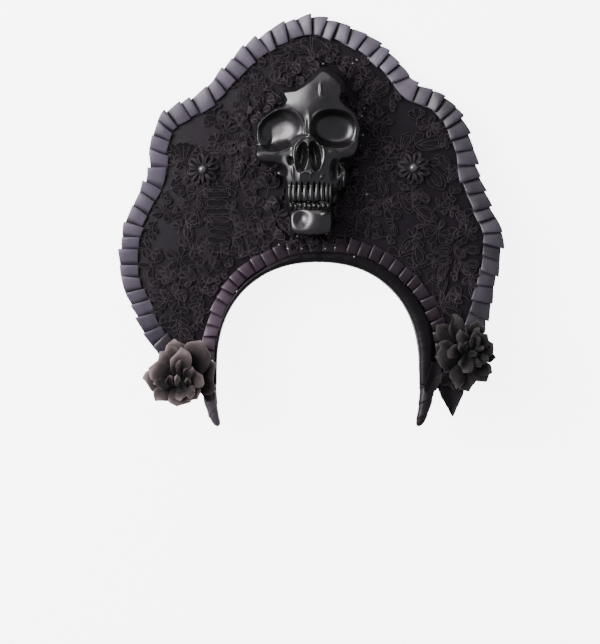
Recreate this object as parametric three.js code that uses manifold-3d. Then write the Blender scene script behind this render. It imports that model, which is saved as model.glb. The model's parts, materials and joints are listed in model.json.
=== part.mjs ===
// Kokoshnik headdress: a stiff crest on a head band, with pleated ribbon, lace, a resin skull and roses.
// It lies on its back. Millimetres, +Z up; the origin is the middle of its footprint.
// Pieces are drawn in the crest's own frame: x to the right, y from the top of the head opening
// towards the crest's apex, z out of the face. The whole group is then leaned back onto its rim.

import * as THREE from 'three';
import { mergeVertices } from 'three/addons/utils/BufferGeometryUtils.js';
import Module from 'manifold-3d';

const wasm = await Module();
wasm.setup();

// Crest
const crownHeight = 183;
const halfWidth = 142.5;
const panelThickness = 4;
const clearance = 0.3;

// Head opening and band
const openingHalfWidth = 76;
const openingRise = 77;
const openingRoundness = 2.2;
const openingShift = 4.5;
const legLength = 15;
const bandThickness = 3;
const bandDepth = 22;
const bandEndDepth = 9;
const tipLength = 31;
const tipLeanIn = 2;
const tipForward = 2.5;

// Padded roll, at its widest
const rollWidth = 11.5;
const rollHeight = 5;

// Ribbon trims
const outerRibbonWidth = 13;
const outerPleatPitch = 11;
const outerOverhang = 1.5;
const outerCornerJut = 1.4;
const innerRibbonWidth = 10;
const innerPleatPitch = 9.5;
const innerCornerJut = 0.5;
const ribbonThickness = 1.1;
const pleatRise = 2.2;
const pleatOverlap = 1.6;
const outerRibbonStart = 15.3;
const outerRibbonEnd = 23.4;
const innerRibbonStart = 19.7;

// Lace
const laceThickness = 1.2;
const motifReach = 10;
const barWidth = 2.6;

// Looped flowers and beads
const loopFlowerRadius = 12.5;
const loopFlowerHeight = 3;
const loopCount = 8;
const beadDiameter = 6.4;

// Skull
const skullHalfWidth = 40.3;
const skullHalfHeight = 61;
const skullDepth = 34;
const skullRight = -2.2;
const skullUp = 84;

// Roses and satin leaves
const roseRadius = 26;
const roseDepth = 25;
const roseAlongLeft = 19.5;
const roseInsetLeft = 4.2;
const roseAlongRight = 30.5;
const roseInsetRight = 8.5;
const petalThickness = 1.5;
const leafThickness = 1.2;
const leafHalfWidth = 9;
const leafLength = 49;
const leafAlong = 27;
const leafInset = 16.3;
const leafLeanDegrees = 4;

// Crest outline beside the opening, from the band's end up to the level of the opening's top.
// up is a share of the band's drop; left and right are shares of the room outside the band.
const tailOutline = [
  { up: 0, left: 0.103, right: 0.158 },
  { up: 0.07, left: 0.347, right: 0.369 },
  { up: 0.185, left: 0.548, right: 0.538 },
  { up: 0.3, left: 0.647, right: 0.668 },
  { up: 0.526, left: 0.817, right: 0.777 },
  { up: 0.772, left: 0.966, right: 0.886 },
];
// Crest outline above it. up is a share of crownHeight; left and right are shares of halfWidth.
const crownOutline = [
  { up: 0, left: 1, right: 0.979 },
  { up: 0.123, left: 0.992, right: 0.989 },
  { up: 0.234, left: 0.934, right: 0.932 },
  { up: 0.344, left: 0.866, right: 0.871 },
  { up: 0.459, left: 0.853, right: 0.842 },
  { up: 0.582, left: 0.795, right: 0.787 },
  { up: 0.643, left: 0.689, right: 0.737 },
  { up: 0.689, left: 0.595, right: 0.668 },
  { up: 0.73, left: 0.526, right: 0.532 },
  { up: 0.787, left: 0.463, right: 0.484 },
  { up: 0.869, left: 0.358, right: 0.384 },
  { up: 0.951, left: 0.2, right: 0.216 },
];
const apexShare = { along: 0.016, up: 1 };

// Front width of the padded roll from the left tip to the right tip, as shares of rollWidth.
const rollWidths = [
  { at: 0, width: 0.14 },
  { at: 0.14, width: 0.14 },
  { at: 0.32, width: 0.3 },
  { at: 0.5, width: 0.65 },
  { at: 0.68, width: 0.78 },
  { at: 0.86, width: 1 },
  { at: 1, width: 0.78 },
];

// Lace motifs: along and up are shares of halfWidth and crownHeight, reach is a share of motifReach.
const laceMotifs = {
  lace_left: [
    { along: -0.56, up: 0.58, reach: 0.8 }, { along: -0.45, up: 0.53, reach: 0.85 },
    { along: -0.34, up: 0.46, reach: 0.75 }, { along: -0.55, up: 0.46, reach: 0.7 },
    { along: -0.68, up: 0.44, reach: 0.75 }, { along: -0.42, up: 0.38, reach: 0.7 },
    { along: -0.28, up: 0.36, reach: 0.7 }, { along: -0.72, up: 0.3, reach: 0.75 },
    { along: -0.32, up: 0.28, reach: 0.7 }, { along: -0.5, up: 0.24, reach: 1.05 },
    { along: -0.77, up: 0.2, reach: 0.8 }, { along: -0.64, up: 0.2, reach: 0.7 },
    { along: -0.2, up: 0.17, reach: 0.95 }, { along: -0.35, up: 0.16, reach: 0.75 },
    { along: -0.85, up: 0.1, reach: 0.7 }, { along: -0.49, up: 0.11, reach: 1 },
    { along: -0.69, up: 0.06, reach: 0.95 }, { along: -0.83, up: -0.02, reach: 0.85 },
    { along: -0.59, up: -0.04, reach: 0.7 }, { along: -0.79, up: -0.13, reach: 0.7 },
    { along: -0.66, up: -0.14, reach: 0.9 }, { along: -0.68, up: -0.24, reach: 0.9 },
    { along: -0.12, up: 0.3, reach: 0.8 }, { along: -0.09, up: 0.1, reach: 0.7 },
  ],
  lace_right: [
    { along: 0.54, up: 0.58, reach: 0.75 }, { along: 0.38, up: 0.5, reach: 0.75 },
    { along: 0.49, up: 0.48, reach: 0.65 }, { along: 0.63, up: 0.47, reach: 0.85 },
    { along: 0.25, up: 0.44, reach: 0.7 }, { along: 0.36, up: 0.38, reach: 0.7 },
    { along: 0.65, up: 0.35, reach: 0.9 }, { along: 0.27, up: 0.29, reach: 0.75 },
    { along: 0.52, up: 0.3, reach: 0.7 }, { along: 0.69, up: 0.23, reach: 0.9 },
    { along: 0.41, up: 0.22, reach: 0.75 }, { along: 0.25, up: 0.2, reach: 0.75 },
    { along: 0.55, up: 0.16, reach: 0.7 }, { along: 0.66, up: 0.11, reach: 0.9 },
    { along: 0.81, up: 0.12, reach: 0.75 }, { along: 0.53, up: 0.06, reach: 0.8 },
    { along: 0.68, up: -0.01, reach: 0.75 }, { along: 0.82, up: -0.05, reach: 0.75 },
    { along: 0.71, up: -0.14, reach: 0.75 }, { along: 0.74, up: -0.24, reach: 0.7 },
    { along: 0.11, up: 0.32, reach: 0.8 }, { along: 0.11, up: 0.12, reach: 0.7 },
  ],
  lace_crown: [
    { along: 0.01, up: 0.88, reach: 0.75 }, { along: 0.12, up: 0.84, reach: 0.75 },
    { along: -0.13, up: 0.83, reach: 0.8 }, { along: 0.26, up: 0.79, reach: 0.7 },
    { along: 0.34, up: 0.72, reach: 0.65 }, { along: -0.37, up: 0.73, reach: 0.7 },
    { along: -0.25, up: 0.77, reach: 0.75 }, { along: 0.28, up: 0.67, reach: 0.6 },
    { along: -0.41, up: 0.66, reach: 0.7 }, { along: -0.26, up: 0.68, reach: 0.7 },
    { along: -0.05, up: 0.7, reach: 0.8 },
  ],
};
const laceSplitUp = 0.625;
const laceSplitAlong = 0;
const laceNeighbours = 3;
const motifWaistShare = 0.72;
const netMergeTolerance = 0.35;

// Skull outline, clockwise from the crown, as shares of its half width and half height.
const skullOutline = [
  [0.24, 0.96], [0.56, 0.83], [0.64, 0.7], [0.65, 0.6], [0.84, 0.43], [0.93, 0.31], [0.99, 0.21],
  [0.95, 0.06], [0.89, -0.04], [0.78, -0.12], [0.63, -0.13], [0.71, -0.21], [0.71, -0.34],
  [0.63, -0.48], [0.5, -0.64], [0.45, -0.72], [0.45, -0.98], [0.07, -1.04], [-0.28, -1.03],
  [-0.34, -0.94], [-0.32, -0.77], [-0.39, -0.71], [-0.45, -0.55], [-0.43, -0.38], [-0.52, -0.29],
  [-0.71, -0.21], [-0.86, -0.16], [-1.01, -0.06], [-0.99, 0.06], [-0.95, 0.34], [-0.78, 0.43],
  [-0.48, 0.53], [-0.45, 0.61], [-0.52, 0.71], [-0.26, 0.74], [-0.02, 0.83],
];

// Relief of the skull: place and size as shares of its half sizes, lift as a share of its depth.
const skullFeatures = [
  { name: 'forehead', along: 0.12, up: 0.62, wide: 0.7, tall: 0.36, lift: 0.14 },
  { name: 'left brow', along: -0.52, up: 0.45, wide: 0.5, tall: 0.14, lift: 0.16 },
  { name: 'right brow', along: 0.5, up: 0.51, wide: 0.5, tall: 0.14, lift: 0.16 },
  { name: 'left temple', along: -0.95, up: 0.18, wide: 0.16, tall: 0.4, lift: 0.22 },
  { name: 'right temple', along: 0.92, up: 0.2, wide: 0.16, tall: 0.4, lift: 0.22 },
  { name: 'left orbit', along: -0.54, up: 0.22, wide: 0.39, tall: 0.235, lift: -0.52 },
  { name: 'right orbit', along: 0.47, up: 0.25, wide: 0.4, tall: 0.225, lift: -0.52 },
  { name: 'nose bridge', along: -0.02, up: 0.26, wide: 0.14, tall: 0.3, lift: 0.14 },
  { name: 'left nostril', along: -0.11, up: -0.08, wide: 0.13, tall: 0.18, lift: -0.4 },
  { name: 'right nostril', along: 0.11, up: -0.07, wide: 0.13, tall: 0.18, lift: -0.4 },
  { name: 'left cheekbone', along: -0.7, up: -0.1, wide: 0.36, tall: 0.11, lift: 0.24 },
  { name: 'right cheekbone', along: 0.66, up: -0.07, wide: 0.38, tall: 0.11, lift: 0.24 },
  { name: 'left cheek', along: -0.5, up: -0.34, wide: 0.16, tall: 0.16, lift: -0.22 },
  { name: 'right cheek', along: 0.52, up: -0.32, wide: 0.16, tall: 0.16, lift: -0.22 },
  { name: 'upper jaw', along: 0.02, up: -0.4, wide: 0.42, tall: 0.22, lift: 0.2 },
  { name: 'bite line', along: 0.02, up: -0.68, wide: 0.6, tall: 0.06, lift: -0.16 },
  { name: 'chin', along: 0.05, up: -0.88, wide: 0.42, tall: 0.18, lift: 0.18 },
];

// Petals of a rose, a row for each ring from the outside in. Reach and lift are shares of the rose.
const rosePetalRings = [
  { petals: 5, reach: 1, width: 0.6, lean: 6, lift: 0.08, turn: 0 },
  { petals: 4, reach: 0.72, width: 0.54, lean: 34, lift: 0.2, turn: 40 },
];
// The heart of a rose: a calyx at the back and a bud in front, from the back to the front.
const roseHeart = [
  { reach: 0, up: 0 }, { reach: 0.36, up: 0 }, { reach: 0.3, up: 0.36 }, { reach: 0.34, up: 0.66 },
  { reach: 0.2, up: 0.92 }, { reach: 0, up: 1 },
];
const heartSides = 9;
// Places of the roses in mm: along the crest's edge from its tail, and in from that edge.
const roses = [
  { name: 'rose_left', side: -1, along: roseAlongLeft, inset: roseInsetLeft, turn: 12 },
  { name: 'rose_right', side: 1, along: roseAlongRight, inset: roseInsetRight, turn: 50 },
];

// Looped flowers on the lace and the beads in them.
const loopFlowers = [
  { side: 'left', along: -0.574, up: 0.377 },
  { side: 'right', along: 0.532, up: 0.383 },
];

// The satin leaf under the right rose, from its root to its point.
const leafRoot = { side: 1, along: leafAlong, inset: leafInset };

const finish = {
  panel: { color: 0x1a1a1c, roughness: 0.7 },
  satin: { color: 0x2b2b30, roughness: 0.42 },
  innerSatin: { color: 0x2f2529, roughness: 0.42 },
  lace: { color: 0x1d1719, roughness: 0.85 },
  resin: { color: 0x0b0b0c, roughness: 0.18 },
  petals: { color: 0x2a2722, roughness: 0.8 },
  bead: { color: 0x3a3a3f, roughness: 0.2 },
};

const crest = new THREE.Group();
const bandDrop = openingRise + legLength;

// Solids and booleans

function solidOf(geometry) {
  const bare = geometry.clone();
  bare.deleteAttribute('normal');
  bare.deleteAttribute('uv');
  const merged = mergeVertices(bare, 1e-4);
  return new wasm.Manifold(new wasm.Mesh({
    numProp: 3,
    vertProperties: Float32Array.from(merged.attributes.position.array),
    triVerts: Uint32Array.from(merged.index.array),
  }));
}

function geometryOf(solid) {
  const mesh = solid.getMesh();
  const geometry = new THREE.BufferGeometry();
  geometry.setAttribute('position', new THREE.BufferAttribute(mesh.vertProperties, mesh.numProp));
  geometry.setIndex(new THREE.BufferAttribute(mesh.triVerts, 1));
  return geometry;
}

function joined(solids) {
  return solids.reduce((whole, solid) => whole.add(solid));
}

// The biggest shell of a solid, so that small closed hollows between its pieces are filled.
function largestBody(solid) {
  const bodies = solid.decompose();
  return bodies.reduce((best, body) => (body.volume() > best.volume() ? body : best));
}

// A closed solid through rings of points, all with the same count, with flat ends.
function solidThroughRings(rings) {
  const count = rings[0].length;
  const points = rings.flat();
  const faces = [];
  for (let ring = 0; ring + 1 < rings.length; ring += 1) {
    for (let side = 0; side < count; side += 1) {
      const next = (side + 1) % count;
      const [a, b] = [ring * count + side, ring * count + next];
      faces.push(a, b, b + count, a, b + count, a + count);
    }
  }
  const last = (rings.length - 1) * count;
  for (let side = 1; side + 1 < count; side += 1) {
    faces.push(0, side + 1, side, last, last + side, last + side + 1);
  }
  return closedGeometry(points, faces);
}

// Turns the faces over where the solid came out inside out.
function closedGeometry(points, faces) {
  let volume = 0;
  for (let face = 0; face < faces.length; face += 3) {
    const [a, b, c] = [points[faces[face]], points[faces[face + 1]], points[faces[face + 2]]];
    volume += a.dot(b.clone().cross(c));
  }
  const outward = volume > 0 ? faces : faces.slice().reverse();
  const geometry = new THREE.BufferGeometry().setFromPoints(points);
  geometry.setIndex(outward);
  return geometry;
}

function slab(points, low, high) {
  const geometry = new THREE.ExtrudeGeometry(new THREE.Shape(points), {
    depth: high - low,
    bevelEnabled: false,
  });
  geometry.translate(0, 0, low);
  return geometry;
}

function addPiece(name, geometry, look) {
  const mesh = new THREE.Mesh(geometry, new THREE.MeshStandardMaterial({ metalness: 0, ...look }));
  mesh.name = name;
  crest.add(mesh);
}

// A value from a table of rows that rise by key, eased between them.
function tableValue(rows, key, value, at) {
  const last = rows.length - 1;
  const found = rows.findIndex((row) => row[key] >= at);
  const high = found < 0 ? last : Math.max(found, 1);
  const [from, to] = [rows[high - 1], rows[high]];
  const share = THREE.MathUtils.clamp((at - from[key]) / (to[key] - from[key]), 0, 1);
  return THREE.MathUtils.lerp(from[value], to[value], THREE.MathUtils.smoothstep(share, 0, 1));
}

// Curves of the crest's plane

const tangentStep = 0.004;

// The opening's inner edge: two straight legs joined by a superellipse, from left to right.
class OpeningCurve extends THREE.Curve {
  constructor(offset = () => 0) {
    super();
    this.offset = offset;
    this.arcLengthDivisions = 400;
  }

  edgePoint(share) {
    const legShare = legLength / (2 * legLength + Math.PI * openingRise);
    const springline = -openingRise;
    if (share < legShare || share > 1 - legShare) {
      const side = share < 0.5 ? -1 : 1;
      const drop = 1 - Math.min(share, 1 - share) / legShare;
      return new THREE.Vector2(openingShift + side * openingHalfWidth, springline - drop * legLength);
    }
    const angle = Math.PI * (1 - (share - legShare) / (1 - 2 * legShare));
    const power = 2 / openingRoundness;
    const across = Math.sign(Math.cos(angle)) * Math.abs(Math.cos(angle)) ** power;
    const above = Math.abs(Math.sin(angle)) ** power;
    return new THREE.Vector2(openingShift + across * openingHalfWidth, springline + above * openingRise);
  }

  getPoint(share) {
    const point = this.edgePoint(share);
    const before = this.edgePoint(Math.max(share - tangentStep, 0));
    const after = this.edgePoint(Math.min(share + tangentStep, 1));
    const along = after.sub(before).normalize();
    const outward = new THREE.Vector2(-along.y, along.x);
    return point.addScaledVector(outward, this.offset(share));
  }
}

const rollWidthAt = (share) => rollWidth * tableValue(rollWidths, 'at', 'width', share);

// One side of the crest's outline, from its tail up; side is -1 for left and 1 for right.
function crestSide(side) {
  const key = side < 0 ? 'left' : 'right';
  const bandEdge = openingHalfWidth + bandThickness + clearance + side * openingShift;
  const tail = tailOutline.map((row) => new THREE.Vector2(
    side * THREE.MathUtils.lerp(bandEdge, halfWidth, row[key]), bandDrop * (row.up - 1),
  ));
  const crown = crownOutline.map((row) => new THREE.Vector2(
    side * row[key] * halfWidth, row.up * crownHeight,
  ));
  return [...tail, ...crown];
}

function crestPoints() {
  const apex = new THREE.Vector2(apexShare.along * halfWidth, apexShare.up * crownHeight);
  return [...crestSide(-1), apex, ...crestSide(1).reverse()];
}

const crestCurve = new THREE.SplineCurve(crestPoints());
crestCurve.arcLengthDivisions = 600;

function offsetPoints(curve, count, offset) {
  const points = [];
  for (let index = 0; index <= count; index += 1) {
    const share = index / count;
    const along = curve.getTangentAt(share);
    points.push(curve.getPointAt(share).addScaledVector(new THREE.Vector2(-along.y, along.x), offset));
  }
  return points;
}

// A place on the crest: mm along its edge from the tail of one side, and mm in from the edge.
function edgePlace({ side, along, inset }) {
  const fromTail = along / crestCurve.getLength();
  const share = side < 0 ? fromTail : 1 - fromTail;
  const tangent = crestCurve.getTangentAt(share);
  return crestCurve.getPointAt(share).addScaledVector(new THREE.Vector2(tangent.y, -tangent.x), inset);
}

// Backing panel: the crest's plate with its arched edge just outside the band.

const arcSegments = 35;
const outlineSegments = 84;
const panelEdge = offsetPoints(crestCurve, outlineSegments, -outerOverhang);
const bandOuterCurve = new OpeningCurve(() => bandThickness + clearance);
const panelArch = bandOuterCurve.getSpacedPoints(arcSegments).reverse();

const panelShape = [...panelEdge, ...panelArch];
addPiece('backing_panel', slab(panelShape, 0, panelThickness), finish.panel);

// Headband: its rear rim lies in the plane that also touches the back of the crest's apex.

const leanSlope = bandDepth / (crownHeight - outerOverhang);
const bandTaperShare = 0.6;

function rimLevel(point) {
  const level = -bandDepth + point.y * leanSlope;
  const taperTop = -bandTaperShare * bandDrop;
  const taper = THREE.MathUtils.smoothstep(taperTop - point.y, 0, taperTop + bandDrop);
  return THREE.MathUtils.lerp(level, -bandEndDepth, taper);
}

function bandRings(innerCurve, outerCurve) {
  const inner = innerCurve.getSpacedPoints(arcSegments);
  const outer = outerCurve.getSpacedPoints(arcSegments);
  return inner.map((point, index) => {
    const far = outer[index];
    return [
      new THREE.Vector3(point.x, point.y, panelThickness),
      new THREE.Vector3(point.x, point.y, rimLevel(point)),
      new THREE.Vector3(far.x, far.y, rimLevel(far)),
      new THREE.Vector3(far.x, far.y, panelThickness),
    ];
  });
}

const openingCurve = new OpeningCurve();
const bandRingList = bandRings(openingCurve, new OpeningCurve(() => bandThickness));
addPiece('headband', solidThroughRings(bandRingList), finish.satin);

// Padded roll: a cushion of round top on the band's front edge and the panel.

const frontLevel = panelThickness + clearance;
const narrowRollShare = 1.1;
// The roll's round top across its width, as shares of its width and height.
const rollTopShares = [
  { across: 0, up: 0.25 }, { across: 0.12, up: 0.78 }, { across: 0.42, up: 1 },
  { across: 0.75, up: 0.86 }, { across: 1, up: 0.3 },
];

function rollRings() {
  const rings = [];
  for (let index = 0; index <= arcSegments; index += 1) {
    const share = index / arcSegments;
    const width = rollWidthAt(share);
    const height = Math.min(rollHeight, narrowRollShare * width);
    const inner = openingCurve.getPointAt(share);
    const along = openingCurve.getTangentAt(share);
    const outward = new THREE.Vector2(-along.y, along.x);
    const place = (across, up) => {
      const point = inner.clone().addScaledVector(outward, across * width);
      return new THREE.Vector3(point.x, point.y, frontLevel + up * height);
    };
    const top = rollTopShares.map((row) => place(row.across, row.up));
    rings.push([place(0, 0), ...top, place(1, 0)]);
  }
  return rings;
}

addPiece('padded_roll', solidThroughRings(rollRings()), finish.satin);

// Wrapped tips: the tapering ends below the band and the crest's tails.

// Width, front and back of a tip on its way down, as shares of its size at the top.
const tipRows = [
  { down: 0, wide: 1, front: 1, back: 1 },
  { down: 0.3, wide: 0.86, front: 1, back: 0.9 },
  { down: 0.7, wide: 0.6, front: 0.85, back: 0.7 },
  { down: 1, wide: 0.36, front: 0.5, back: 0.35 },
];
const tipTopLevel = -bandDrop - clearance;
const tipFront = panelThickness + tipForward;
const tipCorner = 0.3;

function wrappedTip(name, side) {
  const innerEdge = openingShift + side * openingHalfWidth;
  const topWidth = side * (crestSide(side)[0].x - innerEdge) - outerOverhang;
  const rings = tipRows.map((row) => {
    const wide = topWidth * row.wide;
    const front = tipFront * row.front;
    const back = -bandEndDepth * row.back;
    const near = innerEdge + side * tipLeanIn * row.down ** 2 * (side < 0 ? -1 : 0.4);
    const y = tipTopLevel - tipLength * row.down;
    const corner = Math.min(wide, front - back) * tipCorner;
    const far = near + side * wide;
    return [
      new THREE.Vector3(near, y, front - corner), new THREE.Vector3(near, y, back + corner),
      new THREE.Vector3(near + side * corner, y, back), new THREE.Vector3(far - side * corner, y, back),
      new THREE.Vector3(far, y, back + corner), new THREE.Vector3(far, y, front - corner),
      new THREE.Vector3(far - side * corner, y, front), new THREE.Vector3(near + side * corner, y, front),
    ];
  });
  addPiece(name, solidThroughRings(rings), finish.satin);
}

wrappedTip('band_tip_left', -1);
wrappedTip('band_tip_right', 1);

// Pleated ribbon: each pleat is a wedge that lies over the start of the next one.

function pleatWedge(start, end, ribbonWidth, jut) {
  const low = frontLevel + ribbonThickness;
  const high = low + pleatRise;
  const section = (place, top, out) => {
    const outer = place.point.clone().addScaledVector(place.outward, out);
    const inner = place.point.clone().addScaledVector(place.outward, -ribbonWidth);
    return [
      new THREE.Vector3(outer.x, outer.y, frontLevel), new THREE.Vector3(outer.x, outer.y, top),
      new THREE.Vector3(inner.x, inner.y, top), new THREE.Vector3(inner.x, inner.y, frontLevel),
    ];
  };
  return solidOf(solidThroughRings([section(start, low, 0), section(end, high, jut)]));
}

// Pleats along a curve, between two places given in mm from its start; the free folds face the last.
function pleatedRibbon(curve, first, last, pitch, ribbonWidth, jut) {
  const pleats = Math.round(Math.abs(last - first) / pitch);
  const span = { from: first / curve.getLength(), to: last / curve.getLength() };
  const placeAt = (share) => {
    const along = curve.getTangentAt(share);
    return { point: curve.getPointAt(share), outward: new THREE.Vector2(-along.y, along.x) };
  };
  const wedges = [];
  for (let pleat = 0; pleat < pleats; pleat += 1) {
    const from = THREE.MathUtils.lerp(span.from, span.to, pleat / pleats);
    const reach = (pleat + 1 + (pleat + 1 < pleats ? pleatOverlap / pitch : 0)) / pleats;
    const to = THREE.MathUtils.lerp(span.from, span.to, reach);
    wedges.push(pleatWedge(placeAt(from), placeAt(to), ribbonWidth, jut));
  }
  return joined(wedges);
}

const crestEdgeLength = crestCurve.getLength();
const outerTrim = pleatedRibbon(
  crestCurve, outerRibbonStart, crestEdgeLength - outerRibbonEnd,
  outerPleatPitch, outerRibbonWidth, outerCornerJut / 2,
);
addPiece('outer_pleat_trim', geometryOf(outerTrim), finish.satin);

const innerTrimCurve = new OpeningCurve((share) => rollWidthAt(share) + clearance + innerRibbonWidth);
const innerTrim = pleatedRibbon(
  innerTrimCurve, innerTrimCurve.getLength() - innerRibbonStart, innerRibbonStart,
  innerPleatPitch, innerRibbonWidth, innerCornerJut,
);
addPiece('inner_pleat_trim', geometryOf(innerTrim), finish.innerSatin);

// Lace: flower pads on a net of bars, pierced between them, kept clear of the ribbons and the roll.

const laceTop = frontLevel + laceThickness;

// A smooth band of blocks along a curve, from inward of it to outward of it.
function straightBlocks(curve, steps, inward, outwardReach) {
  const blocks = [];
  const section = (share) => {
    const along = curve.getTangentAt(share);
    const outward = new THREE.Vector2(-along.y, along.x);
    const outer = curve.getPointAt(share).addScaledVector(outward, outwardReach);
    const inner = curve.getPointAt(share).addScaledVector(outward, -inward);
    const [low, high] = [frontLevel - clearance, laceTop + clearance];
    return [
      new THREE.Vector3(outer.x, outer.y, low), new THREE.Vector3(outer.x, outer.y, high),
      new THREE.Vector3(inner.x, inner.y, high), new THREE.Vector3(inner.x, inner.y, low),
    ];
  };
  for (let step = 0; step < steps; step += 1) {
    blocks.push(solidOf(solidThroughRings([section(step / steps), section((step + 1) / steps)])));
  }
  return joined(blocks);
}

function laceField(name) {
  const splitUp = laceSplitUp * crownHeight;
  const splitAlong = laceSplitAlong * halfWidth;
  const gap = clearance / 2;
  const far = 2 * crownHeight;
  const corners = {
    lace_crown: [[-far, splitUp + gap], [far, splitUp + gap], [far, far], [-far, far]],
    lace_left: [[-far, -far], [splitAlong - gap, -far], [splitAlong - gap, splitUp - gap],
      [-far, splitUp - gap]],
    lace_right: [[splitAlong + gap, -far], [far, -far], [far, splitUp - gap],
      [splitAlong + gap, splitUp - gap]],
  };
  const field = corners[name].map(([x, y]) => new THREE.Vector2(x, y));
  return solidOf(slab(field, frontLevel - clearance, laceTop + clearance));
}

// A four lobed pad, its lobes turned a little further on each motif.
function motifPad(motif, index) {
  const points = [];
  const lobes = 4;
  for (let corner = 0; corner < 2 * lobes; corner += 1) {
    const angle = Math.PI * corner / lobes + index;
    const reach = motifReach * motif.reach * (corner % 2 ? motifWaistShare : 1);
    points.push(new THREE.Vector2(
      motif.along * halfWidth + reach * Math.cos(angle),
      motif.up * crownHeight + reach * Math.sin(angle),
    ));
  }
  return solidOf(slab(points, frontLevel, laceTop));
}

function netBar(from, to) {
  const along = to.clone().sub(from).normalize();
  const across = new THREE.Vector2(-along.y, along.x).multiplyScalar(barWidth / 2);
  const corners = [
    from.clone().sub(across), to.clone().sub(across), to.clone().add(across), from.clone().add(across),
  ];
  return solidOf(slab(corners, frontLevel, laceTop));
}

// Pairs of motifs that a bar joins: each with its nearest neighbours, and with the one before it.
function netPairs(centres) {
  const pairs = new Map();
  const pair = (first, second) => {
    const [low, high] = [Math.min(first, second), Math.max(first, second)];
    pairs.set(`${low}-${high}`, [low, high]);
  };
  centres.forEach((centre, index) => {
    const others = centres.map((other, place) => ({ place, far: centre.distanceTo(other) }));
    others.sort((a, b) => a.far - b.far);
    others.slice(1, 1 + laceNeighbours).forEach((other) => pair(index, other.place));
    const earlier = others.find((other) => other.place < index);
    if (earlier) {
      pair(index, earlier.place);
    }
  });
  return [...pairs.values()];
}

const outerRibbonKeep = straightBlocks(crestCurve, 90, outerRibbonWidth + clearance, outerCornerJut);
const innerRibbonKeep = straightBlocks(
  innerTrimCurve, 40, innerRibbonWidth + clearance, innerCornerJut + 2 * clearance,
);
const laceGround = solidOf(slab(panelShape, frontLevel - clearance, laceTop + clearance));
const laceRoom = laceGround.subtract(outerRibbonKeep).subtract(innerRibbonKeep);

Object.entries(laceMotifs).forEach(([name, motifs]) => {
  const centres = motifs.map((row) => new THREE.Vector2(row.along * halfWidth, row.up * crownHeight));
  const pads = motifs.map(motifPad);
  const bars = netPairs(centres).map(([from, to]) => netBar(centres[from], centres[to]));
  const net = joined([...pads, ...bars]).intersect(laceRoom).intersect(laceField(name));
  addPiece(name, geometryOf(largestBody(net.simplify(netMergeTolerance))), finish.lace);
});

// A round relief: a flat back and a front through rings of points about a middle.
function roundRelief(columns, ringShares, placeAt, floorLevel) {
  const points = [placeAt(0, 0)];
  ringShares.forEach((ring) => {
    for (let column = 0; column < columns; column += 1) {
      points.push(placeAt(ring, column));
    }
  });
  const rim = points.slice(-columns);
  rim.forEach((point) => points.push(new THREE.Vector3(point.x, point.y, floorLevel)));
  const middle = points.length;
  points.push(new THREE.Vector3(points[0].x, points[0].y, floorLevel));
  const faces = [];
  for (let column = 0; column < columns; column += 1) {
    const next = (column + 1) % columns;
    faces.push(0, 1 + column, 1 + next);
    for (let ring = 0; ring < ringShares.length; ring += 1) {
      const [a, b] = [1 + ring * columns + column, 1 + ring * columns + next];
      faces.push(a, a + columns, b + columns, a, b + columns, b);
    }
    const floorRing = 1 + ringShares.length * columns;
    faces.push(middle, floorRing + next, floorRing + column);
  }
  return closedGeometry(points, faces);
}

// Looped flowers: a ring of raised loops that dips to the bead in its middle.

const beadSides = 12;
const beadBands = 6;
const loopColumns = 3 * loopCount;
const loopLobe = 0.14;
const loopDip = 0.3;
// Rings of a looped flower from its middle out, as shares of its radius and height.
const loopRings = [
  { reach: 0.35, up: 0.45 }, { reach: 0.72, up: 1 }, { reach: 1, up: 0.5 },
];

loopFlowers.forEach((flower) => {
  const [x, y] = [flower.along * halfWidth, flower.up * crownHeight];
  const floorLevel = laceTop + clearance;
  const middleLevel = floorLevel + loopDip * loopFlowerHeight;
  const placeAt = (ring, column) => {
    if (ring === 0) {
      return new THREE.Vector3(x, y, middleLevel);
    }
    const angle = 2 * Math.PI * column / loopColumns;
    const lobe = 1 + loopLobe * ring.reach * Math.cos(loopCount * angle);
    const reach = loopFlowerRadius * ring.reach * lobe;
    const level = floorLevel + ring.up * loopFlowerHeight;
    return new THREE.Vector3(x + reach * Math.cos(angle), y + reach * Math.sin(angle), level);
  };
  const petals = roundRelief(loopColumns, loopRings, placeAt, floorLevel);
  addPiece(`lace_flower_${flower.side}`, petals, finish.lace);
  const bead = new THREE.SphereGeometry(beadDiameter / 2, beadSides, beadBands);
  bead.translate(x, y, middleLevel + clearance + beadDiameter / 2);
  addPiece(`flower_bead_${flower.side}`, bead, finish.bead);
});

// Skull: a relief on rays from its middle to evenly spaced points of its outline.

const skullColumns = 56;
const skullRings = 10;
const skullRingSpread = 0.85;
const skullEdgeShare = 0.18;
const skullDomeShare = 0.54;
const skullLeastShare = 0.06;
const hollowBluntness = 0.6;
const skullFloor = laceTop + clearance;

const skullOutlineCurve = new THREE.CatmullRomCurve3(
  skullOutline.map(([along, up]) => new THREE.Vector3(along * skullHalfWidth, up * skullHalfHeight, 0)),
  true, 'catmullrom', 0.35,
);

function skullLevel(x, y, share) {
  const dome = Math.sqrt(Math.max(1 - share ** 3, 0));
  let level = skullEdgeShare + skullDomeShare * dome;
  skullFeatures.forEach((feature) => {
    const along = (x / skullHalfWidth - feature.along) / feature.wide;
    const up = (y / skullHalfHeight - feature.up) / feature.tall;
    const near = Math.max(1 - along ** 2 - up ** 2, 0);
    level += feature.lift * near ** (feature.lift < 0 ? hollowBluntness : 1);
  });
  return skullFloor + skullDepth * Math.max(level, skullLeastShare);
}

const skullRim = skullOutlineCurve.getSpacedPoints(skullColumns).slice(0, skullColumns);

function skullPoint(share, column) {
  const rim = skullRim[column];
  const [x, y] = [rim.x * share, rim.y * share];
  return new THREE.Vector3(skullRight + x, skullUp + y, skullLevel(x, y, share));
}

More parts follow.
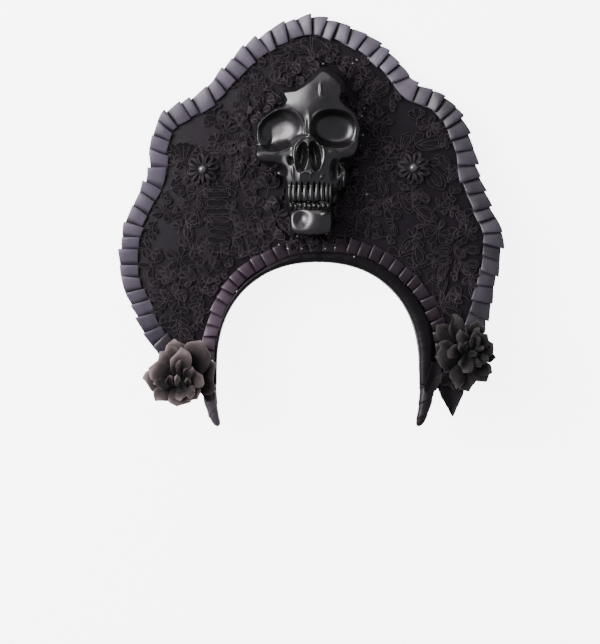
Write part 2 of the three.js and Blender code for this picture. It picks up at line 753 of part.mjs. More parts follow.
const skullRingShares = Array.from({ length: skullRings }, (_, ring) => {
  const even = (ring + 1) / skullRings;
  return even ** skullRingSpread;
});
addPiece('skull', roundRelief(skullColumns, skullRingShares, skullPoint, skullFloor), finish.resin);

// Satin leaf: a pointed scrap that lies on the ribbon and points down past the crest.

const ribbonTop = frontLevel + ribbonThickness + pleatRise;
const leafLevel = ribbonTop + clearance;
// Half widths of the leaf from its root to its point, as shares of leafHalfWidth.
const leafRows = [
  { at: 0, wide: 0.55 }, { at: 0.3, wide: 0.85 }, { at: 0.55, wide: 1 }, { at: 0.8, wide: 0.62 },
  { at: 1, wide: 0.05 },
];

function satinLeaf(name, root) {
  const from = edgePlace(root);
  const lean = THREE.MathUtils.degToRad(leafLeanDegrees);
  const along = new THREE.Vector2(Math.sin(lean), -Math.cos(lean)).multiplyScalar(leafLength);
  const across = new THREE.Vector2(-along.y, along.x).normalize();
  const rings = leafRows.map((row) => {
    const middle = from.clone().addScaledVector(along, row.at);
    const wide = leafHalfWidth * row.wide;
    const left = middle.clone().addScaledVector(across, -wide);
    const right = middle.clone().addScaledVector(across, wide);
    return [
      new THREE.Vector3(left.x, left.y, leafLevel), new THREE.Vector3(right.x, right.y, leafLevel),
      new THREE.Vector3(right.x, right.y, leafLevel + leafThickness),
      new THREE.Vector3(left.x, left.y, leafLevel + leafThickness),
    ];
  });
  addPiece(name, solidThroughRings(rings), finish.satin);
}

satinLeaf('satin_leaf_right', leafRoot);

// Roses: cupped petals in rings about a heart whose flat calyx lies on the ribbon.

const roseFloors = { rose_left: leafLevel, rose_right: leafLevel + leafThickness + clearance };
const petalSteps = 2;
const petalHalfSteps = 1;
const petalMergeTolerance = 0.9;
const petalRootShare = 0.08;
const petalCup = 0.3;
// A petal leans by these parts of its ring's lean at its root and from there to its tip.
const petalLean = { root: 0.7, more: 0.5 };
// Its half width is a power of the sine between these shares of a half turn.
const petalOutline = { root: 0.16, more: 0.66, power: 0.8 };

// The middle surface of a petal: share runs from root to tip, side from -1 to 1.
function petalSurface(ring, share, side) {
  const lean = THREE.MathUtils.degToRad(ring.lean) * (petalLean.root + petalLean.more * share);
  const reach = ring.reach * roseRadius * share;
  const halfTurn = Math.PI * (petalOutline.root + petalOutline.more * share);
  const wide = ring.width * roseRadius * Math.sin(halfTurn) ** petalOutline.power;
  const cup = petalCup * wide * side * side;
  return new THREE.Vector3(
    reach * Math.cos(lean) - cup * Math.sin(lean),
    wide * side,
    ring.lift * roseDepth + reach * Math.sin(lean) + cup * Math.cos(lean),
  );
}

function petalSolid(ring, turn) {
  const rings = [];
  for (let step = 0; step <= petalSteps; step += 1) {
    const share = THREE.MathUtils.lerp(petalRootShare, 1, step / petalSteps);
    const lean = THREE.MathUtils.degToRad(ring.lean);
    const normal = new THREE.Vector3(-Math.sin(lean), 0, Math.cos(lean)).multiplyScalar(petalThickness / 2);
    const sides = [];
    for (let side = -petalHalfSteps; side <= petalHalfSteps; side += 1) {
      sides.push(side / petalHalfSteps);
    }
    const middle = sides.map((side) => petalSurface(ring, share, side));
    const front = middle.map((point) => point.clone().add(normal));
    const back = middle.map((point) => point.clone().sub(normal)).reverse();
    rings.push([...front, ...back]);
  }
  const geometry = solidThroughRings(rings);
  geometry.rotateZ(turn);
  return solidOf(geometry);
}

roses.forEach((rose) => {
  const heart = new THREE.LatheGeometry(
    roseHeart.map((row) => new THREE.Vector2(row.reach * roseRadius, row.up * roseDepth)), heartSides,
  );
  heart.rotateX(Math.PI / 2);
  const petals = rosePetalRings.flatMap((ring) => Array.from({ length: ring.petals }, (_, petal) => {
    const turn = 2 * Math.PI * petal / ring.petals + THREE.MathUtils.degToRad(ring.turn + rose.turn);
    return petalSolid(ring, turn);
  }));
  const whole = joined([solidOf(heart), ...petals]);
  const geometry = geometryOf(largestBody(whole.simplify(petalMergeTolerance)));
  const place = edgePlace(rose);
  geometry.translate(place.x, place.y, roseFloors[rose.name]);
  addPiece(rose.name, geometry, finish.petals);
});

// The crest leans back until its apex and the band's rim touch one plane, under the origin.

crest.rotation.x = -Math.atan(leanSlope);
const object = new THREE.Group();
object.add(crest);
object.updateMatrixWorld(true);
const room = new THREE.Box3().setFromObject(object, true);
const middle = room.getCenter(new THREE.Vector3());
crest.position.set(-middle.x, -middle.y, -room.min.z);

export default object;
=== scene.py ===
"""A kokoshnik headdress in black: pleated satin, corded lace, a resin skull and cloth roses."""

import json
import logging
import math
import random
from collections.abc import Callable, Iterable, Sequence
from dataclasses import dataclass, field
from enum import Enum

import bmesh
import bpy
import numpy as np
from mathutils import Matrix, Vector, noise


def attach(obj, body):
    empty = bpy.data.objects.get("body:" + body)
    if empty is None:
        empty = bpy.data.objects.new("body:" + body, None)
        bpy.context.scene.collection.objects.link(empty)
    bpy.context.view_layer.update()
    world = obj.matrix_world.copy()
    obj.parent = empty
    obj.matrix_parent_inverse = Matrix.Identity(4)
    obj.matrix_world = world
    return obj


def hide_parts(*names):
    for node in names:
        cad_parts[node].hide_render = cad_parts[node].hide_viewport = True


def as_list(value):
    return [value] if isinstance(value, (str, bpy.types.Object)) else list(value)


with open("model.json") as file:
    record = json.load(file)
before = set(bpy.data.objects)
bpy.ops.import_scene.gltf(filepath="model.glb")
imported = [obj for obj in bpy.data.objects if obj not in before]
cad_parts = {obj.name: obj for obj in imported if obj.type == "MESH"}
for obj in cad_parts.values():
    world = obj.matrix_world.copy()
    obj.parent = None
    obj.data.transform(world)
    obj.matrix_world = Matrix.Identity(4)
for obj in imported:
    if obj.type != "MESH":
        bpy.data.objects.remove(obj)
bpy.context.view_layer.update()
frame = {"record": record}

log = logging.getLogger("headdress")

MM = 0.001
# Millimetres for one pixel of the photograph, and where the crest's own origin lies in it.
PIXEL = 0.75
ORIGIN = (312.0, 262.0)
# The place that the camera looks at, in crest millimetres.
VIEW_CENTRE = (-9.0, -45.0)
Point = tuple[float, float]
Place = Callable[[float, float], Vector]


def from_photo(across: float, down: float) -> Point:
    """Gives crest millimetres for a place in the photograph's frame of 600 by 644."""
    return (across - ORIGIN[0]) * PIXEL, (ORIGIN[1] - down) * PIXEL


def clamp(share: float) -> float:
    """Keeps a share within 0 and 1."""
    return min(max(share, 0.0), 1.0)


def ease(share: float) -> float:
    """Eases a share of 0 to 1 in and out."""
    share = clamp(share)
    return share * share * (3.0 - 2.0 * share)


def signed_power(number: float, power: float) -> float:
    """Raises a number's size to a power and keeps its sign."""
    return math.copysign(abs(number) ** power, number)


def walk(root: Point, angle: float, distance: float, aside: float = 0.0) -> Point:
    """Gives the point at a distance in a direction, and aside to its left."""
    return (
        root[0] + distance * math.cos(angle) - aside * math.sin(angle),
        root[1] + distance * math.sin(angle) + aside * math.cos(angle),
    )


def blend_between(start: float, end: float, share: float) -> float:
    """Gives the number at a share of the way from start to end."""
    return start + (end - start) * share


def table_value(rows: Sequence[Sequence[float]], at: float, column: int = 1) -> float:
    """Reads a table of rising rows with an eased step between them.

    Args:
        rows: Rows whose first number rises.
        at: Where to read.
        column: Which number of a row is wanted.

    Returns:
        The number at that place.
    """
    for low, high in zip(rows, rows[1:]):
        if at <= high[0]:
            share = (at - low[0]) / (high[0] - low[0])
            return blend_between(low[column], high[column], ease(share))
    return rows[-1][column]


@dataclass(frozen=True)
class CrestSpace:
    """The crest's own directions: right along it, up to its apex and out of its face."""

    origin: Vector
    up: Vector
    out: Vector

    @classmethod
    def from_record(cls, record: dict, height_mm: float = 90.0) -> "CrestSpace":
        """Finds the crest from the mount on the panel's back.

        Args:
            record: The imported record.
            height_mm: How far above the opening's top that mount lies.

        Returns:
            The crest's space.
        """
        mount = next(row for row in record["mounts"] if row["name"] == "panel_back")
        out = -Vector(mount["axis"]).normalized()
        up = out.cross(Vector((1.0, 0.0, 0.0))).normalized()
        return cls(Vector(mount["pos_m"]) - up * height_mm * MM, up, out)

    def turn(self) -> Matrix:
        """Gives the crest's rotation."""
        return Matrix((Vector((1.0, 0.0, 0.0)), self.up, self.out)).transposed().to_4x4()

    def matrix(self) -> Matrix:
        """Gives the matrix from crest millimetres to the frame's metres."""
        return Matrix.Translation(self.origin) @ self.turn() @ Matrix.Scale(MM, 4)

    def place(self, across: float, up: float, out: float) -> Vector:
        """Gives the frame's place of a point in crest millimetres."""
        return self.matrix() @ Vector((across, up, out))


CREST = CrestSpace.from_record(frame["record"])


# Shader maths and nodes


class Signal:
    """A shader value that takes part in arithmetic."""

    def __init__(self, bench: "Bench", socket: bpy.types.NodeSocket) -> None:
        """Keeps the socket and the bench that it belongs to."""
        self.bench = bench
        self.socket = socket

    def combine(self, operation: str, *values: "Signal | float") -> "Signal":
        """Adds one Math node.

        Args:
            operation: The node's operation.
            values: Its inputs in order.

        Returns:
            The node's result.
        """
        inputs = dict(enumerate(values))
        node = self.bench.add("ShaderNodeMath", {"operation": operation}, inputs)
        return Signal(self.bench, node.outputs[0])

    def __add__(self, other: "Signal | float") -> "Signal":
        """Adds."""
        return self.combine("ADD", self, other)

    __radd__ = __add__

    def __sub__(self, other: "Signal | float") -> "Signal":
        """Subtracts."""
        return self.combine("SUBTRACT", self, other)

    def __rsub__(self, other: float) -> "Signal":
        """Subtracts from a number."""
        return self.combine("SUBTRACT", other, self)

    def __mul__(self, other: "Signal | float") -> "Signal":
        """Multiplies."""
        return self.combine("MULTIPLY", self, other)

    __rmul__ = __mul__

    def __pow__(self, power: float) -> "Signal":
        """Raises to a power."""
        return self.combine("POWER", self, power)

    def least(self, other: "Signal | float") -> "Signal":
        """Takes the smaller of two."""
        return self.combine("MINIMUM", self, other)


class Space(Enum):
    """The coordinates that a pattern can follow."""

    OBJECT = "Object"
    SURFACE = "UV"


Scale = float | tuple[float, float, float]


class Bench:
    """A material's node tree with its shader."""

    def __init__(self, name: str) -> None:
        """Starts an empty material with one shader."""
        self.material = bpy.data.materials.new(name)
        self.material.use_nodes = True
        self.tree = self.material.node_tree
        self.shader = self.tree.nodes["Principled BSDF"]

    def add(self, kind: str, settings: dict, inputs: dict) -> bpy.types.Node:
        """Adds a node of any type.

        Args:
            kind: The node's type.
            settings: Its settings; stops are a colour ramp's positions and colours.
            inputs: Numbers, colours, nodes' sockets or signals for its inputs, by name or number.

        Returns:
            The node.
        """
        node = self.tree.nodes.new(kind)
        for name, value in settings.items():
            if name == "stops":
                ramp = node.color_ramp.elements
                while len(ramp) < len(value):
                    ramp.new(1.0)
                for stop, (position, colour) in zip(ramp, value):
                    stop.position = position
                    stop.color = colour
            else:
                setattr(node, name, value)
        for key, value in inputs.items():
            self.join(value, node.inputs[key])
        return node

    def join(self, value: object, socket: bpy.types.NodeSocket) -> None:
        """Links a socket or a signal to an input, or sets a plain value on it."""
        if isinstance(value, Signal):
            self.tree.links.new(value.socket, socket)
        elif isinstance(value, bpy.types.NodeSocket):
            self.tree.links.new(value, socket)
        else:
            socket.default_value = value

    def coordinates(self, scale: Scale, space: Space) -> bpy.types.NodeSocket:
        """Gives coordinates that are stretched by one scale or by one for each axis."""
        source = self.add("ShaderNodeTexCoord", {}, {})
        scales = scale if isinstance(scale, tuple) else (scale, scale, scale)
        inputs = {"Vector": source.outputs[space.value], "Scale": scales}
        return self.add("ShaderNodeMapping", {}, inputs).outputs[0]

    def noise(self, scale: Scale, detail: float = 2.0, space: Space = Space.OBJECT) -> Signal:
        """Gives soft noise of 0 to 1 whose grain is set by the scale of its coordinates."""
        inputs = {"Vector": self.coordinates(scale, space), "Scale": 1.0, "Detail": detail}
        return Signal(self, self.add("ShaderNodeTexNoise", {}, inputs).outputs[0])

    def cells(self, scale: float, feature: str = "F1") -> Signal:
        """Gives the distance within scattered cells."""
        inputs = {"Vector": self.coordinates(scale, Space.OBJECT), "Scale": 1.0}
        node = self.add("ShaderNodeTexVoronoi", {"feature": feature}, inputs)
        return Signal(self, node.outputs["Distance"])

    def attribute(self, name: str) -> Signal:
        """Gives a number that is stored on the mesh."""
        node = self.add("ShaderNodeAttribute", {"attribute_name": name}, {})
        return Signal(self, node.outputs["Fac"])

    def ramp(self, factor: Signal, *stops: tuple[float, float]) -> Signal:
        """Bends a value through levels at chosen positions."""
        rows = [(position, (level, level, level, 1.0)) for position, level in stops]
        node = self.add("ShaderNodeValToRGB", {"stops": rows}, {0: factor})
        return Signal(self, node.outputs[0])

    def mix(self, factor: Signal | float, low: object, high: object) -> bpy.types.NodeSocket:
        """Mixes two colours.

        Args:
            factor: The share of the second.
            low: The first colour or its socket.
            high: The second colour or its socket.

        Returns:
            The mixed colour's socket.
        """
        inputs = {0: factor, 6: low, 7: high}
        return self.add("ShaderNodeMix", {"data_type": "RGBA"}, inputs).outputs[2]

    def bump(self, height: Signal, distance: float, strength: float = 1.0) -> None:
        """Presses a height in metres times the distance into the shader's normal."""
        inputs = {"Height": height, "Distance": distance, "Strength": strength}
        node = self.add("ShaderNodeBump", {}, inputs)
        self.tree.links.new(node.outputs[0], self.shader.inputs["Normal"])

    def set(self, **values: object) -> None:
        """Sets or links the shader's inputs; an underscore stands for a space in a name."""
        for name, value in values.items():
            self.join(value, self.shader.inputs[name.replace("_", " ")])


Colour = tuple[float, float, float]


def opaque(colour: Sequence[float], times: float = 1.0) -> tuple[float, float, float, float]:
    """Gives a colour with full alpha, made lighter or darker."""
    return colour[0] * times, colour[1] * times, colour[2] * times, 1.0


@dataclass(frozen=True)
class Satin:
    """Woven satin whose fine ribs run across the surface's first axis."""

    name: str
    colour: Colour
    roughness: float = 0.4
    contrast: float = 0.55
    sheen: float = 0.2
    space: Space = Space.SURFACE
    unit: float = 1.0
    wrinkle: float = 0.25
    gloss: float = 0.4

    def make(self) -> bpy.types.Material:
        """Builds the material with its tone, weave and soft wrinkles."""
        bench = Bench(self.name)
        unit = self.unit
        weave = bench.noise((9.0 * unit, 1.3 * unit, 9.0 * unit), space=self.space)
        cloud = bench.noise((0.07 * unit, 0.1 * unit, 0.07 * unit), space=self.space)
        crease = bench.noise((0.35 * unit, 0.12 * unit, 0.35 * unit), space=self.space)
        # The tone attribute holds painted shade and painted light on the pleated ribbons and the wrapped
        # tips, and a rubbed patch on the roll; the cloud is random.
        shade = bench.attribute("tone") * 0.7 + cloud * 0.6 - 0.15
        dark = opaque(self.colour, 1.0 - self.contrast)
        light = opaque(self.colour, 1.0 + self.contrast)
        colour = bench.mix(bench.ramp(shade, (0.0, 0.0), (1.0, 1.0)), dark, light)
        thread = bench.mix(bench.ramp(weave, (0.35, 0.0), (0.7, 0.22)), colour, opaque(self.colour, 2.2))
        bench.set(Base_Color=thread, Roughness=self.roughness + (weave - 0.5) * 0.16 + (cloud - 0.5) * 0.1)
        bench.set(Sheen_Weight=self.sheen, Sheen_Roughness=0.35, Specular_IOR_Level=self.gloss)
        bench.bump(weave * 0.07 + crease * self.wrinkle * 2.0, 0.0005)
        return bench.material


@dataclass(frozen=True)
class Thread:
    """Twisted cord and corded edges of the lace."""

    name: str
    colour: Colour
    roughness: float = 0.45
    fleck: float = 0.6

    def make(self) -> bpy.types.Material:
        """Builds the material with a fine twist and a few bright threads."""
        bench = Bench(self.name)
        twist = bench.noise(2600.0, 1.0)
        patch = bench.noise(60.0)
        light = bench.ramp(twist * 0.55 + patch * 0.45, (0.4, 0.0), (0.66, 1.0))
        colour = bench.mix(light * self.fleck, opaque(self.colour, 0.6), opaque(self.colour, 2.4))
        bench.set(Base_Color=colour, Roughness=self.roughness + (twist - 0.5) * 0.3)
        bench.set(Sheen_Weight=0.05, Sheen_Roughness=0.4, Specular_IOR_Level=0.3)
        bench.bump(twist, 0.0003)
        return bench.material


@dataclass(frozen=True)
class Netting:
    """The fine net that fills a lace petal, with holes between its threads."""

    name: str
    colour: Colour
    mesh_mm: float = 0.75
    closed: float = 0.82

    def make(self) -> bpy.types.Material:
        """Builds the net from the edges of scattered cells, with small holes."""
        bench = Bench(self.name)
        cell = bench.cells(1000.0 / self.mesh_mm, "DISTANCE_TO_EDGE")
        patch = bench.noise(90.0)
        thread = 1.0 - bench.ramp(cell, (0.1, 0.0), (0.32, 1.0))
        # The tone attribute brings painted shade along a lace petal's cords and painted light in its middle.
        tone = thread * 0.2 + patch * 0.25 + bench.attribute("tone") * 0.8
        light = bench.ramp(tone, (0.25, 0.0), (1.0, 1.0))
        colour = bench.mix(light, opaque(self.colour, 0.1), opaque(self.colour, 2.4))
        bench.set(Base_Color=colour, Roughness=0.62 + patch * 0.2)
        bench.set(Alpha=(thread + self.closed).least(1.0), Sheen_Weight=0.02, Specular_IOR_Level=0.15)
        bench.bump(thread + patch, 0.0003)
        return bench.material


@dataclass(frozen=True)
class Resin:
    """Glossy cast resin with scuffs and specks of dust."""

    name: str
    colour: Colour
    roughness: float = 0.2

    def make(self) -> bpy.types.Material:
        """Builds the material with uneven gloss, dust and faint casting waves."""
        bench = Bench(self.name)
        cloud = bench.noise(70.0, 3.0)
        fine = bench.noise(900.0)
        speck = 1.0 - bench.ramp(bench.cells(420.0), (0.05, 0.0), (0.1, 1.0))
        sparse = bench.ramp(bench.noise(45.0, 1.0), (0.6, 0.0), (0.68, 1.0))
        dust = speck * sparse
        scratch = bench.noise((1400.0, 110.0, 300.0), 1.0)
        scuff = bench.ramp(scratch, (0.66, 0.0), (0.74, 1.0)) * sparse
        colour = bench.mix(cloud, opaque(self.colour, 0.5), opaque(self.colour, 1.6))
        dusty = bench.mix(dust * 0.5 + scuff * 0.2, colour, (0.25, 0.24, 0.23, 1.0))
        gloss = self.roughness + (cloud - 0.5) * 0.14 + scuff * 0.25 + dust * 0.4
        bench.set(Base_Color=dusty, Roughness=gloss, Coat_Weight=0.2 + cloud * 0.3)
        bench.set(Coat_Roughness=0.22, Specular_IOR_Level=0.5)
        bench.bump(cloud + fine * 0.015, 0.0004)
        return bench.material


@dataclass(frozen=True)
class RoseCloth:
    """Matt rose cloth, lighter along its edges, which are partly frayed cloth and partly painted highlight,
    with painted shade towards the roots.
    """

    name: str
    colour: Colour
    edge: Colour

    def make(self) -> bpy.types.Material:
        """Builds the cloth with veins, a crepe grain, painted shade at the roots and pale edges that are
        partly rubbed and partly painted highlight.
        """
        bench = Bench(self.name)
        grain = bench.noise(3.2, 3.0, Space.SURFACE)
        vein = bench.noise((0.18, 1.1, 1.0), space=Space.SURFACE)
        cloud = bench.noise(80.0)
        tone = bench.attribute("tone")
        # Painted shade: the tone darkens each petal towards its root.
        root = bench.ramp(tone + (cloud - 0.5) * 0.25, (0.1, 0.0), (0.7, 1.0))
        body = bench.mix(root, opaque(self.colour, 0.08), opaque(self.colour, 1.3))
        # Pale edges: partly rubbed cloth, partly painted highlight.
        pale_edge_wear_and_highlight = bench.ramp(tone * 0.8 + grain * 0.5 - 0.15, (0.45, 0.0), (1.0, 0.85))
        bench.set(Base_Color=bench.mix(pale_edge_wear_and_highlight, body, opaque(self.edge)), Roughness=0.62 + grain * 0.25)
        bench.set(Sheen_Weight=0.06, Sheen_Roughness=0.4, Specular_IOR_Level=0.2)
        bench.bump(grain * 0.5 + vein * 1.4, 0.0006)
        return bench.material


@dataclass(frozen=True)
class Glass:
    """A pearly bead or a glass seed."""

    name: str
    colour: Colour
    roughness: float = 0.12

    def make(self) -> bpy.types.Material:
        """Builds the bead with a clouded body under a clear coat."""
        bench = Bench(self.name)
        cloud = bench.noise(500.0)
        colour = bench.mix(cloud, opaque(self.colour, 0.5), opaque(self.colour, 1.8))
        bench.set(Base_Color=colour, Roughness=self.roughness + cloud * 0.12, Metallic=0.25 + cloud * 0.2)
        bench.set(Coat_Weight=1.0, Coat_Roughness=0.04, Specular_IOR_Level=0.6)
        bench.bump(cloud, 0.0002)
        return bench.material


@dataclass(frozen=True)
class Floor:
    """Pale plain ground."""

    name: str = "pale_floor"
    colour: Colour = (0.86, 0.855, 0.86)
    glow: float = 6.5

    def make(self) -> bpy.types.Material:
        """Builds the ground with a barely clouded tone."""
        bench = Bench(self.name)
        cloud = bench.noise(1.4)
        bench.set(Base_Color=bench.mix(cloud, opaque(self.colour, 0.97), opaque(self.colour)))
        bench.set(Roughness=0.9 + (cloud - 0.5) * 0.05, Specular_IOR_Level=0.1)
        bench.set(Emission_Color=opaque(self.colour), Emission_Strength=self.glow)
        return bench.material


# Curves on the crest


class Route:
    """A curve on the crest, from the left over the top to the right, with places by length."""

    def __init__(self, points: Iterable[Point]) -> None:
        """Keeps the points and the length at each."""
        self.points = [Vector((*point, 0.0)) for point in points]
        self.marks = [0.0]
        for before, after in zip(self.points, self.points[1:]):
            self.marks.append(self.marks[-1] + (after - before).length)
        self.length = self.marks[-1]

    def spot(self, distance: float) -> Vector:
        """Gives the point at a length along the curve, running straight on past its ends."""
        high = int(np.searchsorted(self.marks, distance))
        high = min(max(high, 1), len(self.marks) - 1)
        low = high - 1
        share = (distance - self.marks[low]) / (self.marks[high] - self.marks[low])
        return self.points[low].lerp(self.points[high], share)

    def outward(self, distance: float, reach: float = 1.5) -> Vector:
        """Gives the direction out of the curve's upper side, smoothed over a reach."""
        along = self.spot(distance + reach) - self.spot(distance - reach)
        return Vector((-along.y, along.x, 0.0)).normalized()

    def beside(self, distance: float, out: float) -> Vector:
        """Gives the point that lies out of the curve by a number of millimetres."""
        return self.spot(distance) + self.outward(distance) * out


def spline_point(knots: Sequence[Point], t: float) -> Point:
    """Gives the point at a share t of the way from the second of four knots to the third."""
    return tuple(
        0.5 * (2 * b + (c - a) * t + (2 * a - 5 * b + 4 * c - d) * t * t
               + (3 * b - a - 3 * c + d) * t ** 3)
        for a, b, c, d in zip(*knots)
    )


def smooth_route(knots: Sequence[Point], steps: int = 24) -> Route:
    """Runs one smooth curve through a few knots.

    Args:
        knots: The points that it passes.
        steps: How many points it gets between two knots.

    Returns:
        The curve.
    """
    ends = [knots[0], *knots, knots[-1]]
    points = [
        spline_point(four, step / steps)
        for four in zip(ends, ends[1:], ends[2:], ends[3:])
        for step in range(steps)
    ]
    return Route([*points, knots[-1]])


@dataclass(frozen=True)
class CrestLines:
    """The crest's outline and its head opening, in millimetres and shares as the pattern gives them."""

    crown_height: float = 183.0
    half_width: float = 142.5
    opening_half_width: float = 76.0
    opening_rise: float = 77.0
    roundness: float = 2.2
    opening_shift: float = 4.5
    leg: float = 15.0
    band_edge: float = 79.3
    tails: tuple[tuple[float, float, float], ...] = (
        (0.0, 0.103, 0.158), (0.07, 0.347, 0.369), (0.185, 0.548, 0.538),
        (0.3, 0.647, 0.668), (0.526, 0.817, 0.777), (0.772, 0.966, 0.886),
    )
    crown: tuple[tuple[float, float, float], ...] = (
        (0.0, 1.0, 0.979), (0.123, 0.992, 0.989), (0.234, 0.934, 0.932), (0.344, 0.866, 0.871),
        (0.459, 0.853, 0.842), (0.582, 0.795, 0.787), (0.643, 0.689, 0.737), (0.689, 0.595, 0.668),
        (0.73, 0.526, 0.532), (0.787, 0.463, 0.484), (0.869, 0.358, 0.384), (0.951, 0.2, 0.216),
    )
    apex_share: float = 0.016

    @property
    def drop(self) -> float:
        """How far the band's ends lie below the opening's top."""
        return self.opening_rise + self.leg

    def side(self, which: int) -> list[Point]:
        """Gives one side of the outline from its tail up; which is -1 for left and 1 for right."""
        column = 1 if which < 0 else 2
        inner = self.band_edge + which * self.opening_shift
        tail = [
            (which * blend_between(inner, self.half_width, row[column]), self.drop * (row[0] - 1.0))
            for row in self.tails
        ]
        crown = [(which * row[column] * self.half_width, row[0] * self.crown_height) for row in self.crown]
        return tail + crown

    def outline(self) -> Route:
        """Gives the crest's edge from the left tail over the apex to the right tail."""
        apex = (self.apex_share * self.half_width, self.crown_height)
        return smooth_route([*self.side(-1), apex, *reversed(self.side(1))])

    def arch_point(self, share: float) -> Point:
        """Gives a point of the opening's edge at a share of 0, left, to 1, right."""
        leg_share = self.leg / (2 * self.leg + math.pi * self.opening_rise)
        if share < leg_share or share > 1.0 - leg_share:
            side = -1.0 if share < 0.5 else 1.0
            down = 1.0 - min(share, 1.0 - share) / leg_share
            return self.opening_shift + side * self.opening_half_width, -self.opening_rise - down * self.leg
        angle = math.pi * (1.0 - (share - leg_share) / (1.0 - 2.0 * leg_share))
        power = 2.0 / self.roundness
        across = signed_power(math.cos(angle), power)
        above = abs(math.sin(angle)) ** power - 1.0
        return self.opening_shift + across * self.opening_half_width, above * self.opening_rise

    def arch(self) -> Route:
        """Gives the opening's inner edge."""
        return Route(self.arch_point(step / 600.0) for step in range(601))


# Making pieces


class Workpiece:
    """One piece while it is made, in crest millimetres."""

    def __init__(self, name: str) -> None:
        """Starts an empty mesh with a surface map and a tone."""
        self.name = name
        self.mesh = bmesh.new()
        self.map = self.mesh.loops.layers.uv.new("UVMap")
        self.tone = self.mesh.verts.layers.float.new("tone")

    def paint(self, verts: Iterable[bmesh.types.BMVert], tone: float) -> None:
        """Gives points one tone."""
        for vert in verts:
            vert[self.tone] = tone

    def grid(
        self,
        columns: int,
        rows: int,
        place: Place,
        tone: float | Callable[[float, float], float] = 0.5,
        size: Point = (1.0, 1.0),
        closed: bool = False,
    ) -> list[bmesh.types.BMVert]:
        """Lays a grid on a surface.

        Args:
            columns: Faces along the first share.
            rows: Faces along the second share.
            place: Gives the point for two shares of 0 to 1.
            tone: The tone of the points, or what gives it for two shares.
            size: How far the surface map runs, in millimetres.
            closed: Whether the grid's edges meet and are joined.

        Returns:
            The points that were added.
        """
        made = bmesh.ops.create_grid(
            self.mesh, x_segments=columns, y_segments=rows, size=1.0, calc_uvs=True
        )["verts"]
        faces = {face for vert in made for face in vert.link_faces}
        for face in faces:
            for loop in face.loops:
                spot = loop.vert.co
                loop[self.map].uv = ((spot.x + 1.0) / 2.0 * size[0], (spot.y + 1.0) / 2.0 * size[1])
        for vert in made:
            across, along = (vert.co.x + 1.0) / 2.0, (vert.co.y + 1.0) / 2.0
            vert[self.tone] = tone(across, along) if callable(tone) else tone
            vert.co = place(across, along)
        if closed:
            bmesh.ops.remove_doubles(self.mesh, verts=made, dist=0.002)
            made = [vert for vert in made if vert.is_valid]
        return made

    def bead(self, centre: Vector, radius: float, detail: int = 2) -> None:
        """Adds a small ball."""
        where = Matrix.Translation(centre)
        bmesh.ops.create_icosphere(self.mesh, subdivisions=detail, radius=radius, matrix=where)

    def close_ends(self) -> None:
        """Closes the open ends of a swept shape and turns its faces outwards."""
        rims = [edge for edge in self.mesh.edges if edge.is_boundary]
        bmesh.ops.holes_fill(self.mesh, edges=rims, sides=0)
        self.outward()

    def outward(self) -> None:
        """Turns every face outwards."""
        bmesh.ops.recalc_face_normals(self.mesh, faces=self.mesh.faces)

    def face_up(self) -> None:
        """Turns an open sheet's faces out of the crest."""
        self.outward()
        if sum(face.normal.z * face.calc_area() for face in self.mesh.faces) < 0.0:
            bmesh.ops.reverse_faces(self.mesh, faces=self.mesh.faces)

    def hand_over(
        self, material: bpy.types.Material, slot: str, stands_for: Sequence[str] = ()
    ) -> bpy.types.Object:
        """Makes the finished object.

        Args:
            material: The piece's finish.
            slot: Passed on, but not used.
            stands_for: The frame's nodes that it stands for.

        Returns:
            The object, riding on the frame.
        """
        bmesh.ops.transform(self.mesh, matrix=CREST.matrix(), verts=self.mesh.verts)
        data = bpy.data.meshes.new(self.name)
        self.mesh.to_mesh(data)
        self.mesh.free()
        data.shade_smooth()
        return settle(bpy.data.objects.new(self.name, data), material, slot, stands_for)


def settle(
    piece: bpy.types.Object, material: bpy.types.Material, slot: str, stands_for: Sequence[str]
) -> bpy.types.Object:
    """Puts an object into the scene and says what it belongs to.

    Args:
        piece: The object.
        material: Its finish.
        slot: Not used.
        stands_for: The frame's nodes that it stands for.

    Returns:
        The same object.
    """
    bpy.context.scene.collection.objects.link(piece)
    piece.data.materials.append(material)
    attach(piece, "root")
    if stands_for:
        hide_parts(*stands_for)
    log.info("%s: %d faces", piece.name, len(piece.data.polygons))
    return piece


def thicken(piece: bpy.types.Object, thickness_mm: float, offset: float = -1.0) -> None:
    """Gives a sheet of cloth its thickness and rounds it with a subdivision surface."""
    wall = piece.modifiers.new("Thickness", "SOLIDIFY")
    wall.thickness = thickness_mm * MM
    wall.offset = offset
    wall.use_even_offset = False
    surface = piece.modifiers.new("Rounding", "SUBSURF")
    surface.levels = 1
    surface.render_levels = 1


def cord_mesh(
    name: str, loops: Sequence[tuple[Sequence[Vector], bool]], thickness_mm: float
) -> bpy.types.Object:
    """Makes cords of one thickness from their routes.

    Args:
        name: The object's name.
        loops: For each cord its points in crest millimetres, and whether it closes.
        thickness_mm: How thick the cord is.

    Returns:
        An object whose mesh holds the cords.
    """
    curve = bpy.data.curves.new(name + "_route", "CURVE")
    curve.dimensions = "3D"
    curve.bevel_depth = thickness_mm * MM / 2.0
    curve.bevel_resolution = 0
    curve.use_fill_caps = True
    where = CREST.matrix()
    for points, closed in loops:
        strand = curve.splines.new("POLY")
        strand.points.add(len(points) - 1)
        strand.use_cyclic_u = closed
        for knot, point in zip(strand.points, points):
            knot.co = (*(where @ point), 1.0)
    drawn = bpy.data.objects.new(name + "_route", curve)
    data = bpy.data.meshes.new_from_object(drawn)
    bpy.data.objects.remove(drawn)
    data.name = name
    data.shade_smooth()
    return bpy.data.objects.new(name, data)


# Satin pieces


@dataclass
class Levels:
    """Heights out of the crest's face, in millimetres."""

    panel_top: float = 4.0
    ribbon_floor: float = 4.3
    lace_floor: float = 4.4


